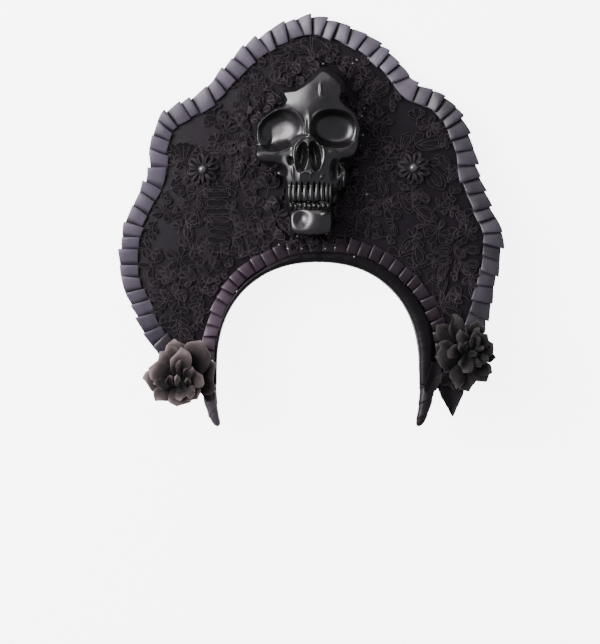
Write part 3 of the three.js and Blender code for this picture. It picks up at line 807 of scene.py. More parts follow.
@dataclass
class Panel:
    """The stiff crest, covered in satin on both sides."""

    lines: CrestLines
    levels: Levels
    inset: float = 1.4
    opening_inset: float = 3.3
    edge_round: float = 1.1
    rim_steps: int = 260
    arch_steps: int = 110
    sharp_degrees: float = 35.0
    finish: Satin = Satin(
        "panel_satin", (0.0057, 0.0039, 0.0063), 0.42, 0.3, 0.03, Space.OBJECT, 1000.0, 0.05, 0.18
    )

    def build(self) -> None:
        """Cuts the plate from the outline and the opening, and rounds its edges."""
        work = Workpiece("crest_panel")
        outline, arch = self.lines.outline(), self.lines.arch()
        rim = [
            outline.beside(outline.length * step / self.rim_steps, -self.inset)
            for step in range(self.rim_steps + 1)
        ]
        opening = [
            arch.beside(arch.length * step / self.arch_steps, self.opening_inset)
            for step in range(self.arch_steps + 1)
        ]
        verts = [work.mesh.verts.new(point) for point in [*rim, *reversed(opening)]]
        work.paint(verts, 0.5)
        face = work.mesh.faces.new(verts)
        lifted = bmesh.ops.extrude_face_region(work.mesh, geom=[face])["geom"]
        raised = [part for part in lifted if isinstance(part, bmesh.types.BMVert)]
        bmesh.ops.translate(work.mesh, verts=raised, vec=(0.0, 0.0, self.levels.panel_top))
        work.outward()
        sharp = [edge for edge in work.mesh.edges if abs(edge.calc_face_angle(0.0)) > 1.0]
        bmesh.ops.bevel(
            work.mesh, geom=sharp, offset=self.edge_round, segments=3, profile=0.5,
            affect="EDGES", material=-1, offset_type="OFFSET",
        )
        bmesh.ops.triangulate(work.mesh, faces=[f for f in work.mesh.faces if len(f.verts) > 4])
        piece = work.hand_over(self.finish.make(), "panel_satin", ["backing_panel"])
        piece.data.set_sharp_from_angle(angle=math.radians(self.sharp_degrees))


@dataclass
class Pleat:
    """How one knife pleat of a ribbon differs from its neighbours."""

    start: float
    length: float
    skew: float
    lift: float
    jut: float
    shift: float
    tone: float


@dataclass
class PleatedRibbon:
    """A satin ribbon folded into knife pleats along a curve."""

    name: str
    node: str
    slot: str
    route: Route
    first: float
    last: float
    pitch: float
    width: float
    jut: float
    floor: float
    finish: Satin
    seed: int
    height: float = 4.0
    tone_at: Callable[[float], float] = lambda share: 0.5
    height_at: Callable[[float], float] = lambda share: 1.0
    # One pleat from its hidden start over the fold and back under: share of the pitch and of the height.
    profile: tuple[Point, ...] = (
        (-0.16, 0.04), (0.02, 0.07), (0.12, 0.2), (0.26, 0.46), (0.48, 0.7), (0.76, 0.88),
        (0.98, 1.0), (1.11, 1.0), (1.19, 0.9), (1.17, 0.74), (1.02, 0.6), (0.88, 0.34),
    )

    def pleats(self) -> list[Pleat]:
        """Deals out the pleats with small differences.

        Returns:
            The pleats from the first place to the last.
        """
        dice = random.Random(self.seed)
        count = round(abs(self.last - self.first) / self.pitch)
        step = (self.last - self.first) / count
        cuts = [self.first + step * index for index in range(count + 1)]
        for index in range(1, count):
            cuts[index] += dice.uniform(-0.11, 0.11) * step
        return [
            Pleat(
                cuts[index], cuts[index + 1] - cuts[index], dice.gauss(0.04, 0.17),
                dice.uniform(0.8, 1.2) * self.height_at(index / count),
                dice.uniform(0.2, 1.8), dice.gauss(0.0, 0.6),
                clamp(self.tone_at(index / count) + dice.gauss(0.0, 0.1)),
            )
            for index in range(count)
        ]

    def build(self) -> None:
        """Folds the ribbon in one strip."""
        work = Workpiece(self.name)
        stations: list[tuple[Pleat, float, float]] = []
        for pleat in self.pleats():
            stations.extend((pleat, along, up) for along, up in self.profile)
        last = len(stations) - 1

        def place(share: float, across: float) -> Vector:
            """Gives the ribbon's point at two shares."""
            pleat, along, up = stations[round(share * last)]
            fold = clamp(along)
            lean = pleat.skew * (across - 0.5) * (0.25 + 0.75 * fold)
            distance = pleat.start + (along + lean) * pleat.length
            out = (across - 1.0) * self.width + pleat.shift
            out += self.jut * pleat.jut * fold * (across * 1.35 - 0.35)
            pillow = 0.55 + 0.45 * math.sin(math.pi * clamp(across * 0.8 + 0.1)) ** 0.6
            level = self.floor + self.height * pleat.lift * up * pillow
            spot = self.route.beside(distance, out)
            return Vector((spot.x, spot.y, level))

        def tone(share: float, across: float) -> float:
            """Gives the tone there, with painted shadow under the fold before."""
            pleat, along, _ = stations[round(share * last)]
            shadow = ease(1.3 - clamp(along) * 2.5)
            return clamp(pleat.tone - shadow + 0.12 * (across - 0.5))

        work.grid(last, 8, place, tone, (abs(self.last - self.first) * 1.4, self.width))
        work.face_up()
        piece = work.hand_over(self.finish.make(), self.slot, [self.node])
        thicken(piece, 0.4)


@dataclass
class Headband:
    """The stiff satin band round the opening, carried back over the head."""

    lines: CrestLines
    depth: float = 22.0
    end_depth: float = 9.0
    thickness: float = 3.0
    front: float = 4.0
    taper_share: float = 0.6
    squareness: float = 0.32
    ripple: float = 0.162
    # How far the crest leans back for each millimetre up.
    lean: float = 22.0 / 181.5
    finish: Satin = Satin("band_satin", (0.008, 0.007, 0.0085), 0.4, 0.4, 0.1, wrinkle=0.3)

    def rim(self, spot: Vector) -> float:
        """Gives the level of the band's rear rim behind a point of the crest."""
        level = -self.depth + spot.y * self.lean
        top = -self.taper_share * self.lines.drop
        return blend_between(level, -self.end_depth, ease((top - spot.y) / (top + self.lines.drop)))

    def build(self) -> None:
        """Sweeps the band's rounded section along the opening."""
        work = Workpiece("head_band")
        arch = self.lines.arch()

        def place(share: float, turn: float) -> Vector:
            """Gives the band's point at a share of its length and of its section."""
            distance = share * arch.length
            angle = math.tau * turn
            across = signed_power(math.cos(angle), self.squareness)
            through = signed_power(math.sin(angle), self.squareness)
            out = self.thickness / 2.0 * (1.0 + across)
            spot = arch.beside(distance, out)
            level = blend_between(self.rim(spot), self.front, 0.5 + 0.5 * through)
            wave = noise.noise(Vector((distance * 0.09, out * 0.5, level * 0.12)))
            spot += arch.outward(distance) * self.ripple * wave
            return Vector((spot.x, spot.y, level))

        work.grid(170, 32, place, 0.45, (arch.length, 50.0), closed=True)
        work.close_ends()
        work.hand_over(self.finish.make(), "band_satin", ["headband"])


@dataclass
class PaddedRoll:
    """The padded satin roll in front of the band, widest at the right."""

    lines: CrestLines
    widest: float = 11.5
    height: float = 5.2
    floor: float = 4.3
    # Where the roll is rubbed, as a share of its length.
    scuff_share: float = 0.36
    widths: tuple[Point, ...] = (
        (0.0, 0.16), (0.14, 0.16), (0.32, 0.31), (0.5, 0.65), (0.68, 0.78), (0.86, 1.0), (1.0, 0.78),
    )
    finish: Satin = Satin("roll_satin", (0.0036, 0.0030, 0.0038), 0.4, 0.6, 0.02, wrinkle=0.25, gloss=0.12)

    def width_at(self, share: float) -> float:
        """Gives the roll's width at a share of the opening's length."""
        return self.widest * table_value(self.widths, share)

    def build(self) -> None:
        """Sweeps the cushion with faint gathers."""
        work = Workpiece("padded_satin_roll")
        arch = self.lines.arch()

        def place(share: float, turn: float) -> Vector:
            """Gives the roll's point at a share of its length and of its section."""
            distance = share * arch.length
            width = self.width_at(share)
            height = min(self.height, 1.15 * width)
            angle = math.tau * turn
            across = 0.5 + 0.5 * signed_power(math.cos(angle), 0.85)
            up = 0.46 + 0.54 * signed_power(math.sin(angle), 0.8)
            gather = noise.noise(Vector((distance * 0.4, across * 1.2, 3.0)))
            puff = 1.0 + 0.022 * gather + 0.06 * noise.noise(Vector((distance * 0.1, 7.0, across)))
            spot = arch.beside(distance, across * width)
            return Vector((spot.x, spot.y, self.floor + height * max(up, 0.0) * puff))

        def tone(share: float, _turn: float) -> float:
            """Gives the tone there, paler where it is rubbed."""
            return 0.45 + 0.55 * math.exp(-((share - self.scuff_share) / 0.022) ** 2)

        work.grid(300, 20, place, tone, (arch.length, 26.0), closed=True)
        work.close_ends()
        piece = work.hand_over(self.finish.make(), "band_satin", ["padded_roll"])


@dataclass
class WrappedTip:
    """A tapering end below the band, wound with overlapping satin."""

    name: str
    node: str
    side: int
    lines: CrestLines
    finish: Satin
    wraps: float
    length: float = 31.0
    lean_in: float = 3.6
    top_front: float = 6.5
    top_back: float = -9.0
    step_out: float = 0.6
    # Share of the length, width in millimetres, and shares of the front and the back.
    rows: tuple[tuple[float, float, float, float], ...] = (
        (0.0, 11.8, 1.0, 1.0), (0.35, 10.6, 1.0, 0.9), (0.7, 8.4, 0.85, 0.7), (1.0, 6.2, 0.6, 0.4),
    )

    def wind(self, turn: float, down: float) -> float:
        """Gives how far a place lies along the wrap that covers it, as a share."""
        return (down * self.wraps + 0.5 * math.cos(math.tau * turn) * 0.55) % 1.0

    def build(self) -> None:
        """Winds the tip from its top down."""
        work = Workpiece(self.name)
        inner = self.lines.opening_shift + self.side * self.lines.opening_half_width
        start = -self.lines.drop - 0.3

        def place(turn: float, down: float) -> Vector:
            """Gives the tip's point at a share of its section and of its length."""
            width = table_value(self.rows, down, 1)
            front = self.top_front * table_value(self.rows, down, 2)
            back = self.top_back * table_value(self.rows, down, 3)
            angle = math.tau * turn
            flare = self.step_out * self.wind(turn, down) ** 1.4 * (1.0 - 0.4 * down) - 0.35
            closing = math.sqrt(1.0 - max((down - 0.88) / 0.12, 0.0) ** 2)
            across = signed_power(math.cos(angle), 0.7)
            through = signed_power(math.sin(angle), 0.7)
            centre = inner + self.side * (width / 2.0 - self.lean_in * down ** 2)
            half = max((width / 2.0 + flare) * closing, 0.3)
            deep = max(((front - back) / 2.0 + flare) * closing, 0.3)
            level = (front + back) / 2.0 + through * deep
            return Vector((centre + across * half, start - self.length * down, level))

        def tone(turn: float, down: float) -> float:
            """Gives the tone there: painted shade where each wrap comes out from under the one before, and
            painted light towards its edge.
            """
            return 0.35 + 0.5 * self.wind(turn, down)

        work.grid(40, 90, place, tone, (40.0, 31.0), closed=True)
        work.close_ends()
        work.hand_over(self.finish.make(), "band_satin", [self.node])


@dataclass
class SatinScrap:
    """A folded scrap of satin by a rose, such as the pointed leaf under the right one."""

    name: str
    root: Point
    tip: Point
    half_width: float
    level: float
    crease: float
    area: float
    rests_on: str
    outline: tuple[Point, ...]
    stands_for: tuple[str, ...] = ()
    thickness: float = 0.6
    finish: Satin = Satin("leaf_satin", (0.0040, 0.0031, 0.0043), 0.46, 0.4, 0.03, wrinkle=0.3, gloss=0.08)

    def build(self) -> None:
        """Folds the scrap along its middle and curls its end."""
        work = Workpiece(self.name)
        start, end = Vector((*self.root, 0.0)), Vector((*self.tip, 0.0))
        along = (end - start).normalized()
        across = Vector((-along.y, along.x, 0.0))

        def place(side: float, share: float) -> Vector:
            """Gives the scrap's point across its width and along it."""
            wide = self.half_width * table_value(self.outline, share)
            sway = 1.6 * math.sin(math.pi * share)
            spot = start.lerp(end, share) + across * ((2.0 * side - 1.0) * wide + sway)
            crease = self.crease * abs(2.0 * side - 1.0) ** 1.3 * math.sin(math.pi * min(share, 0.9))
            curl = 1.4 * share ** 2
            return Vector((spot.x, spot.y, self.level + crease + curl))

        work.grid(16, 26, place, 0.5, (18.0, 50.0))
        work.face_up()
        piece = work.hand_over(self.finish.make(), "ribbon_satin", self.stands_for)
        thicken(piece, self.thickness)
        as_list(self.rests_on)


# Lace


class Motif(Enum):
    """The figures that the lace is drawn with; each value names its method."""

    FLOWER = "flower"
    PETALS = "petals"
    LEAF = "leaf"
    SPRAY = "spray"
    LADDER = "ladder"
    SHELL = "shell"
    CURL = "curl"


FLOWER, PETALS, LEAF, SPRAY, LADDER, SHELL, CURL = Motif

# Figures of the lace: kind, right and up on the crest and reach in millimetres, turn in degrees.
LACE_CHART: tuple[tuple[Motif, float, float, float, float], ...] = (
    (SHELL, -97, 80, 7.5, 100), (LEAF, -79, 83, 5.3, -30), (PETALS, -105, 55, 7.5, 20),
    (FLOWER, -86, 52, 6, 0), (FLOWER, -63, 56, 7.5, 15), (LEAF, -93, 38, 6, 160),
    (LEAF, -85, 35, 8.2, -80), (LADDER, -71, 44, 10.5, 90), (LADDER, -69, 22, 10.5, 80),
    (PETALS, -68, 8, 6.8, 0), (FLOWER, -110, 38, 8.2, 30), (SPRAY, -121, 23, 8.2, -120),
    (LEAF, -93, 23, 6, -90), (FLOWER, -99, 2, 9.7, 10), (LEAF, -83, 14, 6, 60), (FLOWER, -119, -2, 9, 40),
    (LEAF, -90, -9, 4.5, -60), (LEAF, -83, -6, 4.5, -60), (PETALS, -74, -4, 6.8, 50),
    (LEAF, -106, -11, 5.3, -30), (FLOWER, -116, -22, 6.8, 0), (FLOWER, -109, -29, 6.8, 30),
    (LEAF, -102, -20, 4.5, 80), (SPRAY, -86, -26, 9, -90), (LEAF, -118, -35, 4.5, 10),
    (SPRAY, -99, -40, 11.2, -85), (LEAF, -96, -52, 8.2, -60), (FLOWER, -48, 31, 7.5, 0),
    (PETALS, -43, 43, 6.8, 60), (LEAF, -46, 18, 6.8, -60), (FLOWER, -28, 34, 9.7, 20),
    (PETALS, -33, 56, 8.2, 80), (LEAF, -45, 50, 6.8, 100), (FLOWER, -60, 70, 6.8, 0),
    (PETALS, -54, 63, 6.8, 120), (FLOWER, -66, 82, 6, 30), (FLOWER, -65, 98, 8.2, 10),
    (PETALS, -54, 102, 6.8, 40), (FLOWER, -55, 89, 6, 0), (LEAF, -49, 83, 6, -50),
    (PETALS, -80, 109, 7.5, -30), (PETALS, -70, 108, 6.8, 0), (PETALS, -58, 114, 7.5, 30),
    (LEAF, -52, 121, 6, -60), (FLOWER, -53, 132, 6.8, 0), (PETALS, -45, 139, 6.8, 50),
    (FLOWER, -37, 125, 6.8, 0), (LEAF, -26, 157, 8.2, 10), (PETALS, -30, 147, 7.5, 20),
    (FLOWER, -18, 148, 7.5, 0), (LEAF, -5, 145, 6.8, -30), (PETALS, -28, 135, 6.8, 60),
    (LEAF, -12, 161, 5.3, 0), (LEAF, 3, 162, 7.5, -70), (SPRAY, 17, 151, 7.5, -20),
    (FLOWER, 37, 147, 6.8, 20), (PETALS, 40, 139, 6, 60), (FLOWER, 47, 133, 5.3, 0),
    (LEAF, 51, 127, 6.8, 20), (PETALS, 49, 116, 6.8, -70), (FLOWER, 52, 92, 7.5, 0),
    (PETALS, 45, 100, 6, 60), (FLOWER, 50, 69, 6.8, 20), (PETALS, 40, 64, 7.5, 0),
    (FLOWER, 39, 53, 7.5, 30), (PETALS, 79, 107, 6.8, 100), (FLOWER, 88, 101, 6.8, 20),
    (PETALS, 94, 98, 6.8, 60), (LEAF, 88, 87, 9, -5), (FLOWER, 100, 90, 5.3, 0), (LEAF, 70, 90, 6, 60),
    (LEAF, 100, 74, 6.8, 110), (LEAF, 91, 64, 9, -60), (LEAF, 106, 65, 6, 50), (FLOWER, 76, 53, 6.8, 0),
    (LEAF, 84, 49, 5.3, -30), (PETALS, 61, 60, 6.8, 30), (LEAF, 53, 57, 6, -60), (FLOWER, 52, 45, 6.8, 0),
    (PETALS, 60, 42, 6.8, 60), (LEAF, 71, 46, 7.5, -40), (LEAF, 84, 38, 7.5, -20), (SPRAY, 98, 45, 9, 40),
    (FLOWER, 103, 40, 6, 0), (FLOWER, 35, 37, 7.5, 20), (PETALS, 33, 25, 7.5, 0),
    (FLOWER, 43, 26, 6.8, 30), (PETALS, 60, 32, 6.8, 90), (LEAF, 61, 24, 4.5, -90),
    (FLOWER, 86, 29, 7.5, 20), (FLOWER, 94, 22, 9, 0), (PETALS, 112, 29, 6.8, 60),
    (FLOWER, 116, 22, 7.5, 10), (LEAF, 72, 12, 9, 50), (LEAF, 80, 6, 7.5, -70), (LEAF, 97, 8, 6, 0),
    (LEAF, 97, 1, 6, 10), (LEAF, 119, 9, 5.3, 0), (LEAF, 109, 7, 5.3, -70), (LEAF, 119, -1, 4.5, 20),
    (LEAF, 113, -3, 4.5, -60), (FLOWER, 77, -3, 6.8, 0), (PETALS, 88, -14, 6.8, 40),
    (LEAF, 97, -8, 6, 80), (LEAF, 97, -18, 6, 80), (FLOWER, 119, -11, 6.8, 0), (LEAF, 121, -19, 5.3, -60),
    (FLOWER, 95, -32, 7.5, 0), (LEAF, 103, -37, 6.8, -40), (PETALS, -16, 14, 6.8, 0),
    (PETALS, -3, 13, 6.8, 30), (PETALS, 11, 14, 6.8, 60), (PETALS, 25, 20, 6.8, 0),
    (PETALS, -28, 19, 6.8, 40), (FLOWER, 23, 43, 6.8, 0), (FLOWER, -37, 68, 6.8, 10),
    (PETALS, -46, 73, 6, 60), (FLOWER, -40, 83, 5.3, 0), (PETALS, 25, 32, 6.8, 40),
    (PETALS, 34, 76, 6.8, 60), (FLOWER, 42, 83, 6, 10), (FLOWER, 36, 117, 6, 30),
    (PETALS, 32, 128, 6, 60),
)


@dataclass
class LaceGround:
    """How high the lace lies over the crest: flat on the satin and bunched up round the skull."""

    levels: Levels
    rim: np.ndarray
    bunch_height: float = 7.5
    bunch_reach: float = 10.0
    hug: float = 0.6
    hang_height: float = 3.4
    hang_half: float = 29.0

    def gap(self, across: float, up: float) -> float:
        """Gives the distance to the skull's rim."""
        return float(np.min(np.hypot(self.rim[:, 0] - across, self.rim[:, 1] - up)))

    def level(self, across: float, up: float) -> float:
        """Gives the lace's height out of the crest at a place.

        Args:
            across: Millimetres right of the crest's middle.
            up: Millimetres above the opening's top.

        Returns:
            The height in millimetres.
        """
        near = math.exp(-(max(self.gap(across, up) - self.hug, 0.0) / self.bunch_reach) ** 1.6)
        fold = 0.5 + 0.8 * noise.noise(Vector((across * 0.16, up * 0.16, 2.0)))
        ripple = 0.35 * noise.noise(Vector((across * 0.07, up * 0.07, 9.0)))
        hang = ease((20.0 - up) / 5.0) * ease((self.hang_half - abs(across)) / 5.0) if up > 0.0 else 0.0
        lifted = ripple + self.bunch_height * near * fold + self.hang_height * hang
        return self.levels.lace_floor + 0.5 + max(lifted, -0.2)


@dataclass
class LaceDrawing:
    """Cord routes and petal fills as they are drawn, in crest millimetres."""

    ground: LaceGround
    dice: random.Random
    cords: list[tuple[list[Vector], bool]] = field(default_factory=list)
    fills: list[tuple[list[Vector], float]] = field(default_factory=list)

    def raise_points(self, flat: Sequence[Point], lift: float) -> list[Vector]:
        """Lays flat points on the lace's ground with a lift over it."""
        return [Vector((x, y, self.ground.level(x, y) + lift)) for x, y in flat]

    def loop(self, flat: Sequence[Point], lift: float = 0.6, filled: bool = True) -> None:
        """Draws a closed outline with its net.

        Args:
            flat: The outline's points.
            lift: How far the cord stands over the ground.
            filled: Whether net fills it.
        """
        self.cords.append((self.raise_points(flat, lift), True))
        if filled:
            self.fills.append((self.raise_points(flat, lift - 0.2), self.dice.random()))

    def strand(self, flat: Sequence[Point], lift: float = 0.7) -> None:
        """Draws an open cord."""
        self.cords.append((self.raise_points(flat, lift), False))

    def petal(self, root: Point, angle: float, length: float, width: float, inner: bool = False) -> None:
        """Draws one petal from its root.

        Args:
            root: Where it starts.
            angle: Its direction in radians.
            length: Its length.
            width: Its widest breadth.
            inner: Whether a second cord runs inside its outline.
        """
        bend = self.dice.uniform(-0.24, 0.24)
        notch = self.dice.uniform(-0.08, 0.14)
        flat = self.teardrop(root, angle, length, width, bend, notch)
        lift = self.dice.uniform(0.5, 1.3)
        self.loop(flat, lift)
        if inner:
            start = walk(root, angle, length * 0.16)
            inside = self.teardrop(start, angle, length * 0.72, width * 0.62, bend, notch)
            self.loop(inside, lift + 0.1, False)

    def teardrop(
        self, root: Point, angle: float, length: float, width: float, bend: float, notch: float
    ) -> list[Point]:
        """Gives the outline of a petal that is narrow at its root.

        Args:
            root: Where it starts.
            angle: Its direction in radians.
            length: Its length.
            width: Its widest breadth.
            bend: How far it curves to one side, as a share of its length.
            notch: How deep its tip is notched, as a share of its length.

        Returns:
            The outline's points.
        """
        steps = 16
        flat = []
        phase = self.dice.uniform(0.0, math.tau)
        uneven = self.dice.uniform(0.04, 0.13)
        for step in range(steps):
            turn = math.tau * step / steps
            reach = 0.5 - 0.5 * math.cos(turn)
            aside = 0.5 * width * math.sin(turn) * (0.4 + 0.85 * reach ** 0.8)
            aside *= 1.0 + uneven * math.sin(2.0 * turn + phase) + uneven * math.sin(3.0 * turn - phase)
            dent = notch * length * math.exp(-((turn - math.pi) / 0.4) ** 2)
            aside += bend * length * reach ** 2
            flat.append(walk(root, angle, length * reach - dent, aside))
        return flat

    def flower(self, centre: Point, reach: float, turn: float) -> None:
        """Draws a round flower with an eye."""
        count = 5 if self.dice.random() < 0.6 else 6
        for index in range(count):
            angle = turn + math.tau * index / count + self.dice.uniform(-0.14, 0.14)
            start = walk(centre, angle, reach * 0.16)
            length = reach * self.dice.uniform(0.74, 0.92)
            width = 2.2 * reach / count * self.dice.uniform(1.0, 1.35)
            self.petal(start, angle, length, width, self.dice.random() < 0.35)
        eye = [walk(centre, math.tau * step / 9, reach * 0.15) for step in range(9)]
        self.loop(eye, 1.1)

    def petals(self, centre: Point, reach: float, turn: float) -> None:
        """Draws a fan of three petals on a short stem."""
        for spread in (-0.85, 0.0, 0.8):
            angle = turn + spread + self.dice.uniform(-0.15, 0.15)
            length = reach * self.dice.uniform(0.75, 1.1)
            self.petal(centre, angle, length, reach * 0.7, self.dice.random() < 0.3)
        self.stem(centre, turn + math.pi, reach * 0.9)

    def leaf(self, centre: Point, reach: float, turn: float) -> None:
        """Draws a leaf with a rib and a small leaf at its root."""
        root = walk(centre, turn, -reach)
        self.petal(root, turn, 2.0 * reach, reach * 1.15, True)
        self.strand([walk(root, turn, reach * share) for share in (0.1, 0.7, 1.2, 1.75)], 1.0)
        self.petal(root, turn + self.dice.choice((-1.4, 1.4)), reach * 0.95, reach * 0.6)

    def spray(self, centre: Point, reach: float, turn: float) -> None:
        """Draws a stem with small leaves on alternate sides."""
        root = walk(centre, turn, -reach)
        self.stem(root, turn, 2.0 * reach)
        for index in range(6):
            side = 1.0 if index % 2 else -1.0
            start = walk(root, turn, reach * (0.25 + 0.3 * index))
            self.petal(start, turn + side * 0.85, reach * 0.6, reach * 0.34)
        self.petal(walk(root, turn, reach * 1.9), turn, reach * 0.6, reach * 0.36)

    def ladder(self, centre: Point, reach: float, turn: float) -> None:
        """Draws a stack of flattened loops."""
        count = 5
        for index in range(count):
            middle = walk(centre, turn, reach * (index - (count - 1) / 2.0) * 0.5)
            wide = reach * self.dice.uniform(0.62, 0.85)
            flat = []
            for step in range(20):
                angle = math.tau * step / 20
                waist = 1.0 - 0.3 * math.exp(-(math.cos(angle) / 0.35) ** 2)
                along = reach * 0.24 * math.sin(angle) * waist
                flat.append(walk(middle, turn, along, wide * math.cos(angle)))
            self.loop(flat, 0.9 + 0.2 * (index % 2))

    def shell(self, centre: Point, reach: float, turn: float) -> None:
        """Draws a ribbed fan with a scalloped edge."""
        root = walk(centre, turn, -reach * 0.8)
        flat = [root]
        for step in range(25):
            angle = turn - 0.8 + 1.6 * step / 24
            scallop = 1.0 + 0.07 * abs(math.sin(step * math.pi / 5))
            flat.append(walk(root, angle, reach * 1.75 * scallop))
        self.loop(flat)
        for step in range(1, 5):
            angle = turn - 0.8 + 1.6 * step / 5
            self.strand([walk(root, angle, reach * share) for share in (0.3, 1.0, 1.6)])

    def stem(self, root: Point, turn: float, length: float) -> None:
        """Draws a bent stem."""
        bend = self.dice.uniform(-0.2, 0.2) * length
        shares = [step / 6 for step in range(7)]
        self.strand([walk(root, turn, length * share, bend * math.sin(math.pi * share)) for share in shares])

    def curl(self, centre: Point, reach: float, turn: float) -> None:
        """Draws two or three stray petals from one root, half of them with a trailing cord."""
        root = walk(centre, turn, -reach * 0.6)
        for index in range(2 if self.dice.random() < 0.6 else 3):
            angle = turn + (index - 0.7) * self.dice.uniform(0.7, 1.2)
            length = reach * self.dice.uniform(1.0, 1.45)
            width = reach * self.dice.uniform(0.6, 0.9)
            self.petal(root, angle, length, width, self.dice.random() < 0.5)
        if self.dice.random() < 0.5:
            self.stem(root, turn + self.dice.uniform(2.2, 4.0), reach * 1.3)

    def motif(self, kind: Motif, centre: Point, reach: float, turn: float) -> None:
        """Draws one figure of the chart."""
        getattr(self, kind.value)(centre, reach, turn)


def within(ring: np.ndarray, spot: Point) -> bool:
    """Says whether a point lies inside a ring of points."""
    start, end = ring, np.roll(ring, -1, axis=0)
    rise = np.where(end[:, 1] == start[:, 1], 1.0, end[:, 1] - start[:, 1])
    crossed = (start[:, 1] > spot[1]) != (end[:, 1] > spot[1])
    reach = start[:, 0] + (spot[1] - start[:, 1]) * (end[:, 0] - start[:, 0]) / rise
    return bool(np.count_nonzero(crossed & (reach > spot[0])) % 2)


@dataclass
class LaceFilling:
    """Where stray petals fill the lace between the chart's figures."""

    lines: CrestLines
    roll: PaddedRoll
    ground: LaceGround
    pitch: float = 7.2
    outer_inset: float = 15.5
    inner_inset: float = 13.0
    # Shares of a figure's reach that stay free of stray petals on either side of the skull.
    room_left: float = 0.75
    room_right: float = 1.0
    room_turns: float = 38.0
    # Places in the photograph's frame where the satin stays bare: middle, half width, half height.
    bare: tuple[tuple[float, float, float, float], ...] = (
        (192, 133, 22, 16), (160, 238, 22, 15), (203, 232, 8, 13), (226, 100, 11, 8), (253, 67, 9, 9),
        (237, 200, 8, 9), (404, 128, 15, 25), (440, 158, 11, 6), (408, 226, 9, 14), (458, 186, 8, 7),
        (366, 245, 20, 8), (470, 262, 12, 40), (346, 52, 13, 7), (446, 262, 6, 12), (241, 262, 12, 9),
    )

    def ring(self) -> np.ndarray:
        """Gives the edge of the open ground between the two ribbons."""
        outline, arch = self.lines.outline(), self.lines.arch()
        outer = [outline.beside(outline.length * (0.06 + 0.88 * step / 160.0), -self.outer_inset)
                 for step in range(161)]
        inner = [
            arch.beside(arch.length * share, self.roll.width_at(share) + self.inner_inset)
            for share in (0.07 + 0.86 * step / 90.0 for step in range(91))
        ]
        return np.array([(spot.x, spot.y) for spot in [*outer, *reversed(inner)]])

    def satin_shows(self, spot: Point) -> bool:
        """Says whether a place belongs to the bare satin."""
        for across, down, wide, tall in self.bare:
            x, y = from_photo(across, down)
            if ((spot[0] - x) / (wide * PIXEL)) ** 2 + ((spot[1] - y) / (tall * PIXEL)) ** 2 < 1.0:
                return True
        return False

    def spots(self, dice: random.Random, taken: Sequence[tuple[float, float, float]]) -> list[Point]:
        """Deals places on a loose grid that no figure takes yet.

        Args:
            dice: Where the small differences come from.
            taken: Middle and reach of the chart's figures.

        Returns:
            The places.
        """
        ring, skull = self.ring(), self.ground.rim
        low, high = ring.min(axis=0), ring.max(axis=0)
        found = []
        for row in range(int((high[1] - low[1]) / self.pitch) + 1):
            for column in range(int((high[0] - low[0]) / self.pitch) + 1):
                x = low[0] + (column + 0.5 * (row % 2) + dice.uniform(-0.3, 0.3)) * self.pitch
                y = low[1] + (row + dice.uniform(-0.3, 0.3)) * self.pitch
                room = self.room_right if x > self.room_turns else self.room_left
                crowded = any(math.hypot(x - a, y - b) < room * reach for a, b, reach in taken)
                if within(ring, (x, y)) and not within(skull, (x, y)) and not crowded:
                    if not self.satin_shows((x, y)):
                        found.append((x, y))
        return found


@dataclass
class Lace:
    """The corded lace in three parts: left, right and crown."""

    lines: CrestLines
    ground: LaceGround
    filling: LaceFilling
    crown_share: float = 0.625
    cord_mm: float = 0.56
    seed: int = 41
    spread: float = 1.18
    thread: Thread = Thread("lace_thread", (0.0195, 0.0132, 0.0188))
    netting: Netting = Netting("lace_netting", (0.0021, 0.0012, 0.0020))

    def part_of(self, up: float, across: float) -> str:
        """Names the part of the lace that a figure belongs to."""
        if up > self.crown_share * self.lines.crown_height:
            return "crown"
        return "left" if across < 0.0 else "right"

    def build(self) -> None:
        """Draws every figure and makes each part's cords and net."""
        thread, netting = self.thread.make(), self.netting.make()
        dice = random.Random(self.seed)
        drawings = {name: LaceDrawing(self.ground, dice) for name in ("left", "right", "crown")}
        for kind, across, up, reach, turn in LACE_CHART:
            drawing = drawings[self.part_of(up, across)]
            drawing.motif(kind, (across, up), reach * self.spread, math.radians(turn))
        taken = [(across, up, reach * self.spread) for _, across, up, reach, _ in LACE_CHART]
        for across, up in self.filling.spots(dice, taken):
            drawing = drawings[self.part_of(up, across)]
            reach, turn = dice.uniform(4.2, 6.4), dice.uniform(0.0, math.tau)
            drawing.motif(CURL, (across, up), reach, turn)
        for name, drawing in drawings.items():
            cords = cord_mesh(f"lace_cords_{name}", drawing.cords, self.cord_mm)
            settle(cords, thread, "lace", ())
            self.net(netting, name, drawing)

    def net(self, netting: bpy.types.Material, name: str, drawing: LaceDrawing) -> None:
        """Fills the petals of one part with net that swells a little in its middle, with painted shade along
        its cords and painted light in its middle.

        Args:
            netting: The net's finish.
            name: The part's name.
            drawing: The part's petals.
        """
        work = Workpiece(f"lace_net_{name}")
        for points, tone in drawing.fills:
            verts = [work.mesh.verts.new(point) for point in points]
            # Painted shade: the net's rim along the cords is painted dark.
            work.paint(verts, 0.0)
            face = work.mesh.faces.new(verts)
            middle = bmesh.ops.poke(work.mesh, faces=[face])["verts"]
            for vert in middle:
                vert.co.z += 0.4
            # Painted light: the swollen middle is painted lighter, with a random tone for each petal.
            work.paint(middle, 0.55 + 0.45 * tone)
        work.face_up()
        work.hand_over(netting, "lace", [f"lace_{name}"])


